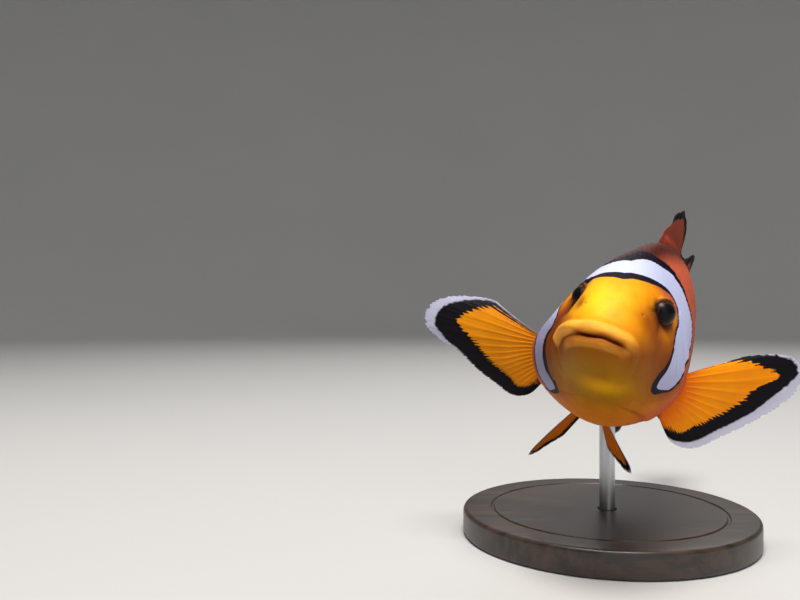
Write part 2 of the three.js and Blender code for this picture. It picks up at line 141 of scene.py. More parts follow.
def smooth_table(xs, ys):
    """A smooth curve through a table, with no overshoot between its stations."""
    xs = np.array(xs, float)
    ys = np.array(ys, float)
    secant = np.diff(ys) / np.diff(xs)
    before, after = secant[:-1], secant[1:]
    same_way = before * after > 0
    total = np.where(same_way, before + after, 1)
    inner = np.where(same_way, 2 * before * after / total, 0)
    slope = np.concatenate([secant[:1], inner, secant[-1:]])

    def value(x):
        at = np.clip(x, xs[0], xs[-1])
        i = np.clip(np.searchsorted(xs, at, side="right") - 1, 0, len(xs) - 2)
        span = xs[i + 1] - xs[i]
        t = (at - xs[i]) / span
        rise = t * t * (3 - 2 * t)
        bend = span * t * (1 - t) * ((1 - t) * slope[i] - t * slope[i + 1])
        return ys[i] * (1 - rise) + ys[i + 1] * rise + bend

    return value


def smoothstep(x, low, high):
    t = np.clip((x - low) / (high - low), 0, 1)
    return t * t * (3 - 2 * t)


def lerp(a, b, t):
    return a + (b - a) * t


def bump(distance, width):
    return np.exp(-((distance / width) ** 2))


def unit(vectors):
    return vectors / np.maximum(np.linalg.norm(vectors, axis=-1, keepdims=True), 1e-12)


back_at = smooth_table(STATION, BACK)
belly_at = smooth_table(STATION, BELLY)
half_width_at = smooth_table(STATION, HALF_WIDTH)
widest_at = smooth_table(STATION, WIDEST_AT)
back_shape_at = smooth_table(BACK_SHAPE_STATION, BACK_SHAPE)


def half_section(u, above):
    """Middle of the section at station u, and the height and shape of its upper or lower half."""
    middle = widest_at(u)
    height = np.where(above, back_at(u) - middle, middle - belly_at(u))
    return middle, height, np.where(above, back_shape_at(u), BELLY_SHAPE)


def section(u, angle):
    """Point (y, z) of the body's cross-section at station u, at an angle from its left side."""
    across, up = np.cos(angle), np.sin(angle)
    middle, height, shape = half_section(u, up >= 0)
    y = np.sign(across) * np.abs(across) ** (2 / shape) * half_width_at(u)
    z = middle + np.sign(up) * np.abs(up) ** (2 / shape) * height
    return y, z


def side_at(u, z):
    """Half-width of the body at station u and height z."""
    middle, height, shape = half_section(u, z >= widest_at(u))
    share = np.minimum(1, np.abs(z - middle) / height)
    return half_width_at(u) * (1 - share**shape) ** (1 / shape)


def rotation(axis, angle):
    c, s = np.cos(angle), np.sin(angle)
    turns = {
        "x": [[1, 0, 0], [0, c, -s], [0, s, c]],
        "y": [[c, 0, s], [0, 1, 0], [-s, 0, c]],
        "z": [[c, -s, 0], [s, c, 0], [0, 0, 1]],
    }
    return np.array(turns[axis])


TURNED = rotation("z", -HEADING) @ rotation("x", -NOSE_UP) @ rotation("y", ROLL)
TURNED = TURNED @ rotation("z", -np.pi / 2)


def gill_flare(u, y, z):
    """How far the right gill cover stands out as the fish breathes."""
    near = bump(u - GILL_FLARE_AT[0], GILL_FLARE_SPREAD[0])
    near = near * bump(z - GILL_FLARE_AT[1], GILL_FLARE_SPREAD[1])
    return GILL_FLARE * near * smoothstep(-y, *GILL_FLARE_INNER) * (1 - smoothstep(-y, *GILL_FLARE_OUTER))


def swim_point(points):
    u, y, z = points[..., 0], points[..., 1], points[..., 2]
    y = y - gill_flare(u, y, z)
    phase = np.pi * np.maximum(0, u - SWING_START) / SWING_LENGTH
    offset = SWING / 2 * (1 - np.cos(phase))
    slope = np.arctan(SWING / 2 * (np.pi / SWING_LENGTH) * np.sin(phase))
    twist = HEAD_TWIST * (smoothstep(u, TWIST_START, TWIST_END) - 1)
    across = y * np.cos(twist) + z * np.sin(twist)
    up = z * np.cos(twist) - y * np.sin(twist)
    swum = np.stack([-u + across * np.sin(slope), offset + across * np.cos(slope), up], -1)
    return swum @ TURNED.T


ROD_ENTRY = swim_point(np.array([ROD_STATION, 0.0, float(belly_at(ROD_STATION))]))


def place(points):
    """Body coordinates to the model's frame, in millimetres."""
    return swim_point(np.asarray(points, float)) - ROD_ENTRY + np.array([0, 0, BELLY_HEIGHT])

# ---------------- the skin's grid
# Rows run from the snout to the tail, columns once round from the belly's midline,
# up the left side, over the back and down the right side.
COLUMNS = 300
SNOUT_ROWS = 10
HEAD_SPACING = 0.15
BODY_SPACING = 0.42
HEAD_END = 14.0
TAIL_WEDGE = 3.6
TAIL_WEDGE_ROWS = 10
TAIL_EDGE_SHARE = 0.1
# Cells over which the bare body is smoothed round and along, and the skin's normals round.
SMOOTH_ROUND = 3.0
SMOOTH_ALONG = 1.5
SMOOTH_NORMAL = 1.2
COAT_DEPTH = 0.12
OUTLINE_STEPS = 8001
SECTION_STEPS = 721


def running_sum(steps):
    return np.concatenate([[0], np.cumsum(steps)])


def row_stations():
    """Stations of the rows, evenly spaced along the outline and finer on the head."""
    u = np.linspace(0, BODY_LENGTH, OUTLINE_STEPS)
    girth = (half_width_at(u) + (back_at(u) - belly_at(u)) / 2) / 2
    walked = running_sum(np.hypot(np.diff(u), np.diff(girth)))
    spacing = lerp(HEAD_SPACING, BODY_SPACING, smoothstep(u, HEAD_END - 4, HEAD_END + 10))
    count = running_sum(np.diff(walked) / spacing[1:])
    return np.interp(np.linspace(0, count[-1], int(count[-1])), count, u)


def round_section(u, shrink=1, narrow=1):
    """One row of points at even steps round the section at station u."""
    y, z = section(u, np.linspace(-np.pi / 2, np.pi / 2, SECTION_STEPS))
    y = np.maximum(y * narrow, 0)
    arc = running_sum(np.hypot(np.diff(y), np.diff(z)))
    wanted = np.linspace(0, arc[-1], COLUMNS // 2 + 1)
    left_y, left_z = np.interp(wanted, arc, y), np.interp(wanted, arc, z)
    round_y = np.concatenate([left_y, -left_y[-2:0:-1]])
    round_z = np.concatenate([left_z, left_z[-2:0:-1]])
    middle = float(widest_at(u))
    return np.stack([np.full(COLUMNS, u), round_y * shrink, middle + (round_z - middle) * shrink], -1)


def blurred(values, sigma, axis, wrap):
    """Values smoothed along one axis of the grid with a bell of sigma cells."""
    reach = int(np.ceil(3 * sigma))
    offsets = np.arange(-reach, reach + 1)
    weight = np.exp(-0.5 * (offsets / sigma) ** 2)
    weight /= weight.sum()
    total = np.zeros_like(values)
    length = values.shape[axis]
    for offset, share in zip(offsets, weight):
        index = np.arange(length) + offset
        index = index % length if wrap else np.clip(index, 0, length - 1)
        total += share * np.take(values, index, axis=axis)
    return total


def base_grid():
    """The bare body: a rounded snout, the rows along it and a wedge that closes the tail."""
    rows = [round_section(0.0, step / SNOUT_ROWS) for step in range(1, SNOUT_ROWS)]
    rows += [round_section(u) for u in row_stations()]
    for step in range(1, TAIL_WEDGE_ROWS + 1):
        share = step / TAIL_WEDGE_ROWS
        narrow = (1 - share) ** 0.9 * (1 - TAIL_EDGE_SHARE) + TAIL_EDGE_SHARE
        row = round_section(BODY_LENGTH, 1 - 0.03 * share, narrow)
        row[:, 0] += TAIL_WEDGE * share
        rows.append(row)
    grid = np.array(rows)
    # Rounds the crests that the section's formula leaves on the back and flanks.
    cell_width = np.linalg.norm(np.diff(grid, axis=1, append=grid[:, :1]), axis=-1).mean(1)
    share = smoothstep(cell_width, 0.05, 0.22)[:, None, None]
    grid = lerp(grid, blurred(grid, SMOOTH_ROUND, 1, True), share)
    return blurred(grid, SMOOTH_ALONG, 0, False)


def grid_normals(grid):
    along = np.gradient(grid, axis=0)
    around = np.roll(grid, -1, axis=1) - np.roll(grid, 1, axis=1)
    return unit(np.cross(around, along))


BASE = base_grid()
NORMAL = grid_normals(BASE)
ROWS = BASE.shape[0]
# The station and girth of each row, and the station, girth share and side of each point.
ROW_U = BASE[..., 0].mean(axis=1)
GIRTH = np.linalg.norm(np.roll(BASE, -1, axis=1) - BASE, axis=-1).sum(axis=1)
ROUND_SHARE = np.arange(COLUMNS) / COLUMNS
GRID_U = np.broadcast_to(ROW_U[:, None], BASE.shape[:2])
GRID_Q = np.broadcast_to(np.minimum(ROUND_SHARE, 1 - ROUND_SHARE), BASE.shape[:2])
GRID_SIDE = np.broadcast_to(np.where(ROUND_SHARE <= 0.5, 1, -1), BASE.shape[:2])
# A distance longer than any on the fish.
FAR = 1e3

# ---------------- lines and marks on the body


def snapped(points):
    """The points of the bare body nearest to the given ones."""
    flat_base = BASE.reshape(-1, 3)
    nearest = [flat_base[np.argmin(((flat_base - p) ** 2).sum(-1))] for p in np.array(points, float)]
    return np.array(nearest)


def rounded_path(points, per_span=10):
    """A Catmull-Rom path through the points."""
    points = np.array(points, float)
    ends = np.concatenate([[2 * points[0] - points[1]], points, [2 * points[-1] - points[-2]]])
    path = []
    for a, b, c, d in zip(ends, ends[1:], ends[2:], ends[3:]):
        for t in np.arange(per_span) / per_span:
            cubic = 2 * b + (c - a) * t + (2 * a - 5 * b + 4 * c - d) * t**2
            path.append((cubic + (3 * b - a - 3 * c + d) * t**3) / 2)
    path.append(points[-1])
    return np.array(path)


def distance_to(path, reach):
    """Distance of the bare body's points from a polyline, and how far along it, from 0 to 1."""
    points = BASE.reshape(-1, 3)
    best = np.full(len(points), FAR)
    along = np.zeros(len(points))
    low, high = path.min(0) - reach, path.max(0) + reach
    near = np.nonzero(((points > low) & (points < high)).all(-1))[0]
    chosen, found, share = points[near], best[near], along[near]
    spans = len(path) - 1
    for k in range(spans):
        start, step = path[k], path[k + 1] - path[k]
        t = np.clip(((chosen - start) @ step) / max(step @ step, 1e-12), 0, 1)
        gap = np.linalg.norm(chosen - start - t[:, None] * step, axis=-1)
        closer = gap < found
        found = np.where(closer, gap, found)
        share = np.where(closer, (k + t) / spans, share)
    best[near], along[near] = found, share
    return best.reshape(BASE.shape[:-1]), along.reshape(BASE.shape[:-1])


def sample(field, row, column):
    """A field of the grid read between its rows and columns."""
    row = np.clip(row, 0, ROWS - 1.001)
    r0 = np.floor(row).astype(int)
    c0 = np.floor(column).astype(int)
    fr, fc = row - r0, column - c0
    if field.ndim == 3:
        fr, fc = fr[..., None], fc[..., None]
    left, right = c0 % COLUMNS, (c0 + 1) % COLUMNS
    top = lerp(field[r0, left], field[r0, right], fc)
    low = lerp(field[r0 + 1, left], field[r0 + 1, right], fc)
    return lerp(top, low, fr)


def on_body(u, q, side):
    """Points of the bare body at stations u, girth shares q and a side."""
    row = np.interp(u, ROW_U, np.arange(ROWS))
    column = np.where(side > 0, q, 1 - q) * COLUMNS
    return sample(BASE, row, column)


def station_at(edge):
    """Station of an edge of (station, girth share) points, at the girth share of each grid point."""
    order = np.argsort(edge[:, 1])
    return np.interp(GRID_Q, edge[order, 1], edge[order, 0])


# Lines of the mouth, from the fish's left corner to its right one. The fish holds it a little askew.
SLIT = [
    (2.2, 4.5, -2.2), (1.6, 4.3, -1.1), (1.2, 3.9, -0.4), (0.6, 2.65, 0.2), (0.16, 1.12, 0.5),
    (0.03, -0.32, 0.77), (0.53, -2.4, 0.56), (1.24, -4.1, 0.48), (3, -5.66, -0.18), (5.4, -6.9, -1.3),
    (6.6, -7.3, -2.6),
]
UPPER_LIP = [
    (3.1, 5.1, -2.8), (2.24, 4.5, -1.96), (1.96, 4.64, -1.13), (1.54, 4.46, -0.25), (1.11, 3.91, 0.54),
    (0.73, 2.82, 1.11), (0.42, 1.11, 1.57), (0.42, -0.51, 1.76), (0.78, -2.45, 1.8), (1.72, -4.45, 1.4),
    (3.42, -5.84, 1.04), (5.9, -7.1, 0.25), (7.4, -7.7, -1.0), (8.3, -8.1, -2.5),
]
LOWER_LIP = [
    (1.7, 4.1, -2), (1.13, 3.56, -1.24), (0.66, 2.72, -0.58), (0.22, 1.37, -0.35), (0, -0.08, -0.23),
    (0.37, -1.89, -0.29), (1.16, -3.92, -0.57), (3.19, -5.61, -1.28), (5.2, -6.6, -2.3),
]
LIP_CREST = [
    (3.22, 5.67, -1.14), (2.87, 5.58, -0.06), (2.25, 5.07, 0.78), (1.6, 4.22, 1.66), (1.08, 2.93, 2.27),
    (0.82, 0.81, 2.69), (1.04, -1.23, 3.07), (1.4, -2.77, 3.03), (2.2, -4.34, 2.75), (4, -5.92, 2.36),
    (6.6, -7.3, 1.6),
]
CHEEK_FOLDS = [
    [(3.2, 5.7, -1.6), (3.5, 5.6, -3), (4, 5.3, -4.4)],
    [(7.6, -7.7, -2.8), (7.6, -7.2, -4.4), (7.6, -6.6, -5.8)],
]
CHEEK_SHADE = [(9.2, -7.8, 3.6), (10.4, -9.2, 1), (10.6, -9.6, -1.6), (11, -9.2, -4.6), (11, -8, -7)]
LEFT_CHEEK_SHADE = [
    (4.8, 5.6, 4.4), (5.9, 6.7, 3.1), (7.3, 7.5, 1.7), (7.5, 7.8, -0.1), (6.4, 7.3, -2.1), (5.5, 5.9, -3.9),
]
JAW_SEAM = [(4.4, 5.9, -3.4), (6.6, 5.6, -6.2), (8.6, 3.9, -8.3), (9.6, 1.6, -9.6)]
NOSTRIL = (4.6, 4.1, 4.9)
EYE_HOLLOW = (5.2, -5.3, 5.1)
EYE_HOLLOW_SIZE = (1.8, 1.2, 1.6)
# The edge of the gill cover, the fold across the throat and the cheek's edge, as (station, girth share),
# with how far each stands out and how wide it swells in front of its edge.
GILL_EDGE = [(20.2, 0.37), (22.2, 0.335), (23.6, 0.29), (24.1, 0.24), (23.7, 0.19), (21.8, 0.14), (18.8, 0.1)]
THROAT_FOLD = [(18.8, 0.1), (15.8, 0.105), (12.6, 0.085), (10, 0.055), (8.6, 0.025), (8.2, 0)]
PREOPERCLE = [(11.2, 0.29), (13.6, 0.25), (14.6, 0.2), (14, 0.15), (12, 0.115), (9.6, 0.1)]
GILL_LINES = ((GILL_EDGE, 0.34, 1.6), (THROAT_FOLD, 0.22, 1.6), (PREOPERCLE, 0.1, 1.2))
GILL_STEP_WIDTH = 0.45
# Heights or depths of the other lines of the face, and their widths, in millimetres.
UPPER_LIP_HEIGHT, UPPER_LIP_RADIUS = 0.62, 1.25
LOWER_LIP_HEIGHT, LOWER_LIP_RADIUS = 0.3, 1.1
RIGHT_LIP_HEIGHT, RIGHT_LIP_RADIUS = 0.25, 1.1
LIP_ROUNDNESS = 1.2
LIP_CREST_DEPTH, LIP_CREST_WIDTH = 0.1, 0.5
SLIT_END_DEPTH, SLIT_DEPTH = 0.16, 0.8
SLIT_END_WIDTH, SLIT_WIDTH = 0.2, 0.24
CHEEK_FOLD_DEPTH, CHEEK_FOLD_WIDTH = 0.14, 0.4
JAW_SEAM_DEPTH, JAW_SEAM_WIDTH = 0.05, 0.6
NOSTRIL_RIM_HEIGHT, NOSTRIL_RIM_WIDTH = 0.05, 0.6
NOSTRIL_DEPTH, NOSTRIL_WIDTH = 0.3, 0.22
EYE_HOLLOW_DEPTH = 0.35
RIPPLE_HEIGHT = 0.05


def skin_line(points, reach):
    """Distance of the bare body's points from a line drawn on it, and how far along it."""
    return distance_to(rounded_path(snapped(points)), reach)


SLIT_GAP, SLIT_ALONG = skin_line(SLIT, 3)
UPPER_GAP, UPPER_ALONG = skin_line(UPPER_LIP, 4)
LOWER_GAP, LOWER_ALONG = skin_line(LOWER_LIP, 4)
# How much of a lip stands out: both fade at their ends, further on the fish's left.
UPPER_LIP_SHARE = smoothstep(UPPER_ALONG, 0, 0.4) * smoothstep(1 - UPPER_ALONG, 0, 0.07)
LOWER_LIP_SHARE = smoothstep(LOWER_ALONG, 0, 0.32) * smoothstep(1 - LOWER_ALONG, 0, 0.15)


def side_path(stations, side):
    u, q = np.array(stations, float).T
    return rounded_path(on_body(u, q, side))


def bar_of(distance, radius, power=1.0):
    """Cross-section of a rounded bar of that radius lying on the skin."""
    return np.clip(1 - (distance / radius) ** 2, 0, 1) ** power


def spot(centre, size):
    """1 at the centre, falling off with the size along each axis."""
    return bump(np.linalg.norm((BASE - np.array(centre)) / np.array(size), axis=-1), 1)


def mouth_relief():
    """Both lips, with more of the upper one on the fish's right, and the slit between them."""
    height = UPPER_LIP_HEIGHT * bar_of(UPPER_GAP, UPPER_LIP_RADIUS, LIP_ROUNDNESS) * UPPER_LIP_SHARE
    height += LOWER_LIP_HEIGHT * bar_of(LOWER_GAP, LOWER_LIP_RADIUS, LIP_ROUNDNESS) * LOWER_LIP_SHARE
    height -= LIP_CREST_DEPTH * bump(skin_line(LIP_CREST, 3)[0], LIP_CREST_WIDTH) * UPPER_LIP_SHARE
    on_right = smoothstep(UPPER_ALONG, 0.5, 0.75) * UPPER_LIP_SHARE
    height += RIGHT_LIP_HEIGHT * bar_of(UPPER_GAP, RIGHT_LIP_RADIUS) * on_right
    from_end = 1 - np.abs(2 * SLIT_ALONG - 1)
    inner = smoothstep(from_end, 0.5, 0.72)
    slit = lerp(SLIT_END_DEPTH, SLIT_DEPTH, inner) * bump(SLIT_GAP, lerp(SLIT_END_WIDTH, SLIT_WIDTH, inner))
    return height - slit * smoothstep(from_end, 0, 0.1)


def gill_relief(stations, side, lift, width):
    """A swelling in front of an edge, and a step down behind it."""
    gap, share = distance_to(side_path(stations, side), 4)
    ends = smoothstep(share, 0, 0.12) * smoothstep(1 - share, 0, 0.06)
    in_front = GRID_U < station_at(np.array(stations))
    step = np.where(in_front, lift * bump(gap, width), -0.5 * lift * bump(gap, GILL_STEP_WIDTH))
    return np.where(GRID_SIDE == side, step * ends, 0)


def relief():
    """How far the skin stands out from the bare body, in millimetres."""
    height = mouth_relief() - COAT_DEPTH
    height -= EYE_HOLLOW_DEPTH * spot(EYE_HOLLOW, EYE_HOLLOW_SIZE)
    for points in CHEEK_FOLDS:
        height -= CHEEK_FOLD_DEPTH * bump(skin_line(points, 3)[0], CHEEK_FOLD_WIDTH)
    for side in (1, -1):
        flip = np.array([1, side, 1])
        jaw, _ = distance_to(rounded_path(snapped(JAW_SEAM) * flip), 3)
        height -= JAW_SEAM_DEPTH * bump(jaw, JAW_SEAM_WIDTH)
        nostril = np.linalg.norm(BASE - snapped([NOSTRIL])[0] * flip, axis=-1)
        height += NOSTRIL_RIM_HEIGHT * bump(nostril, NOSTRIL_RIM_WIDTH)
        height -= NOSTRIL_DEPTH * bump(nostril, NOSTRIL_WIDTH)
        for stations, lift, width in GILL_LINES:
            height += gill_relief(stations, side, lift, width)
    ripple = np.sin(GRID_U * 1.9 + 3 * GRID_Q) * np.sin(GRID_Q * 30) * smoothstep(GRID_U, 24, 34)
    return height + RIPPLE_HEIGHT * ripple


# Each eyeball looks out through an oval opening about an axis of its own, this many degrees
# from the axis to the edge, along the head and up. The gaze is where its pupil points.
EYE_OPENING_AXIS = {1: np.array([-0.6, 0.8, 0.08]), -1: np.array([-0.5, 0.86, 0.1])}
EYE_OPENING = {1: np.radians([70, 55]), -1: np.radians([51, 51])}
EYE_GAZE = {1: np.array([-0.8, 0.59, 0.08]), -1: np.array([-0.5, 0.86, 0.1])}
EYE_SINK = 0.4
EYELID = 0.12
LID_ROLL = 0.1
LID_ROLL_WIDTH = 0.14
LEAST_LID = 0.1
LID_ROUNDNESS = 0.12
# How far from an eyeball's centre the skin follows its lid, and its opening.
LID_REACH = 8
EYE_REACH = 6


def eye_centre(side):
    depth = EYE_DEPTH[side]
    y = float(side_at(EYE_U, EYE_Z)) - depth * EYE_AXIS[1]
    return np.array([EYE_U - depth * EYE_AXIS[0], side * y, EYE_Z - depth * EYE_AXIS[2]])


def eye_frame(direction, side):
    """The direction on that side of the head, with the ways up and along the head across it."""
    axis = unit(direction * np.array([1, side, 1]))
    up = unit(np.cross(axis, np.cross([0, 0, 1], axis)))
    return axis, up, np.cross(up, axis)


def eye_distances(points, side):
    """Way from an eyeball's centre, its length, millimetres past the opening's edge, and off the lid."""
    arm = points - eye_centre(side)
    reach = np.maximum(np.linalg.norm(arm, axis=-1), 1e-9)
    axis, up, across = eye_frame(EYE_OPENING_AXIS[side], side)
    turn = np.arctan2(np.abs(arm @ across), arm @ axis) / EYE_OPENING[side][0]
    rise = np.arcsin(np.clip(np.abs(arm @ up) / reach, 0, 1)) / EYE_OPENING[side][1]
    past = ((turn**2.5 + rise**2.5) ** 0.4 - 1) * EYE_RADIUS * EYE_OPENING[side][1]
    return arm, reach, past, past + 0.85 * (reach - EYE_RADIUS)


def fitted_to_eyes(points):
    """The skin drawn over each eyeball as a lid, and sunk behind the ball inside the opening."""
    for side in (1, -1):
        arm, reach, past, gap = eye_distances(points, side)
        outward = unit(arm)
        lid = EYE_RADIUS + EYELID + LID_ROLL * bump(past - LID_ROLL_WIDTH, LID_ROLL_WIDTH)
        close = 1 - smoothstep(gap, 0.5, 2 + 1.5 * np.clip(-outward[..., 0], 0, 1))
        fitted = lerp(reach, lid, close * (reach < LID_REACH))
        over = (fitted - EYE_RADIUS - LEAST_LID) / LID_ROUNDNESS
        fitted = EYE_RADIUS + LEAST_LID + LID_ROUNDNESS * np.logaddexp(0, over)
        within = (1 - smoothstep(past, -0.06, 0.04)) * (reach < EYE_REACH)
        fitted = lerp(fitted, EYE_RADIUS - EYE_SINK, within)
        points = points + outward * (fitted - reach)[..., None]
    return points


SKIN = fitted_to_eyes(BASE + NORMAL * relief()[..., None])
SKIN_NORMAL = blurred(grid_normals(SKIN), SMOOTH_NORMAL, 1, True)

# ---------------- markings
# Each bar: (girth share, front station, rear station), from the back's midline down.
HEAD_BAR_LEFT = [
    (0.5, 8.7, 12.1), (0.487, 9.1, 13.5), (0.46, 9.9, 17.2), (0.433, 11.7, 21.6), (0.41, 14.9, 23.4),
    (0.393, 18.1, 24.7), (0.378, 19.9, 25.4), (0.363, 20.4, 26.2), (0.347, 19.5, 27.1), (0.327, 16.9, 27.9),
    (0.307, 14.5, 27.6), (0.283, 13.1, 26), (0.263, 12.4, 23.2), (0.248, 12, 19.9), (0.233, 11.7, 17.2),
    (0.207, 11, 15.6), (0.187, 10.5, 14.7), (0.175, 10.5, 13.4), (0.163, 10.8, 11.5),
]
HEAD_BAR_RIGHT = [
    (0.5, 8.7, 12.1), (0.487, 8.75, 12.1), (0.463, 8.9, 12.3), (0.433, 9.5, 13.2), (0.413, 10, 15.8),
    (0.395, 11.4, 19), (0.38, 13.4, 21.7), (0.36, 16, 23.6), (0.34, 17.2, 24.2), (0.32, 16.9, 24.2),
    (0.3, 15.8, 23.6), (0.285, 14.2, 22.6), (0.27, 12.4, 21), (0.25, 12.2, 19), (0.233, 13.1, 17.6),
    (0.2, 13.4, 16.5), (0.167, 13.4, 16.2), (0.133, 13.3, 16.5), (0.113, 12.9, 16.2), (0.098, 13.2, 15.4),
]
MIDDLE_BAR = [
    (0.5, 41.8, 47.0), (0.43, 41.0, 47.4), (0.36, 38.6, 47.6), (0.3, 35.6, 47.4), (0.26, 34.8, 47.0),
    (0.21, 36.4, 46.4), (0.15, 39.2, 45.8), (0.1, 41.0, 45.2), (0.065, 42.2, 44.4),
]
TAIL_BAR_FRONT = 63.4
TAIL_BAR_REAR = 68.6
TAIL_BAR_BOW = 0.9
# Widths of the black borders of the bars, by girth share.
FRONT_BORDER = [
    (0.1, 0.9), (0.16, 1.4), (0.2, 1.3), (0.25, 0.6), (0.33, 0.55), (0.38, 0.85), (0.43, 1.4), (0.5, 1.7),
]
NAPE_BORDER = [(0.1, 0.5), (0.3, 0.5), (0.37, 0.7), (0.41, 1.0), (0.45, 1.5), (0.5, 2.6)]
BACK_BORDER = [(0.1, 0.6), (0.36, 0.6), (0.44, 1.0), (0.5, 1.2)]
TAIL_BORDER = 0.8
BARS = (
    (HEAD_BAR_LEFT, 1, NAPE_BORDER), (HEAD_BAR_RIGHT, -1, NAPE_BORDER),
    (MIDDLE_BAR, 1, BACK_BORDER), (MIDDLE_BAR, -1, BACK_BORDER),
)
OUTSIDE = -9.0


def bar_depth(bar, side):
    """Depth of the grid's points in half a bar, negative outside it, and the place along its edge."""
    bar = np.array(bar, float)
    front, rear = rounded_path(bar[:, [1, 0]], 8), rounded_path(bar[:, [2, 0]], 8)
    # The closed edge, from the back's midline down and up again.
    edge = np.concatenate([front, rear[::-1]])
    gap, along = distance_to(on_body(edge[:, 0], np.minimum(edge[:, 1], 0.5), side), 6)
    inside = (GRID_U > station_at(front)) & (GRID_U < station_at(rear))
    inside &= (GRID_Q > bar[-1, 0]) & (GRID_SIDE == side)
    return np.where(inside, gap, -gap), along


def markings():
    """Depth into the white bars and into their black borders, in millimetres."""
    white = np.full(BASE.shape[:2], OUTSIDE)
    ink = np.full(BASE.shape[:2], OUTSIDE)
    for bar, side, rear_border in BARS:
        depth, along = bar_depth(bar, side)
        front = np.interp(GRID_Q, *zip(*FRONT_BORDER))
        rear = np.interp(GRID_Q, *zip(*rear_border))
        white = np.maximum(white, depth)
        ink = np.maximum(ink, depth + lerp(front, rear, smoothstep(along, 0.49, 0.53)))
    bow = TAIL_BAR_BOW * np.cos(2 * np.pi * (GRID_Q - 0.25)) ** 2
    tail = np.minimum(GRID_U - TAIL_BAR_FRONT + bow, TAIL_BAR_REAR + 0.4 * bow - GRID_U)
    return np.maximum(white, tail), np.maximum(ink, tail + TAIL_BORDER)


def linear(red, green, blue):
    """A colour given in display values from 0 to 255, as the shaders take it."""
    c = np.array([red, green, blue]) / 255
    return np.where(c <= 0.04045, c / 12.92, ((c + 0.055) / 1.055) ** 2.4)


FACE = linear(240, 144, 14)
# Painted highlight: the forehead turned yellow where the light falls on it.
FOREHEAD_HIGHLIGHT = linear(255, 196, 30)
# The cheek's brown, also used as painted shade on the lower face and on the fish's left cheek.
CHEEK_BROWN_AND_SHADE = linear(150, 74, 14)
SHADED_CHEEK = linear(122, 48, 20)
# Painted highlight: a yellow glint low on the chin.
CHIN_HIGHLIGHT = linear(204, 146, 8)
# Painted shade: the dark mustard under the jaw, where the light does not reach.
SHADED_CHIN = linear(150, 102, 6)
THROAT = linear(196, 112, 28)
LIP = linear(255, 176, 64)
# The mouth's dark inside, also used as painted shade in the throat's fold and under the slit.
MOUTH_AND_CREASE_SHADE = linear(120, 40, 16)
FLANK = linear(200, 96, 66)
# The back's own brown, also painted as shade on the fish's right side of the back.
BACK_BROWN_AND_SHADE = linear(60, 24, 26)
BELLY_ORANGE = linear(206, 120, 34)
EYE_SHADOW = linear(60, 26, 12)
WHITE = (0.57, 0.59, 0.85)
WHITE_MOTTLE = (0.56, 0.58, 0.80)
WHITE_IN_SHADE = (0.5, 0.46, 0.5)
BLACK = (0.006, 0.003, 0.010)
FIN_BLACK = (0.003, 0.002, 0.004)
CLEAR_RIM = linear(206, 206, 232)


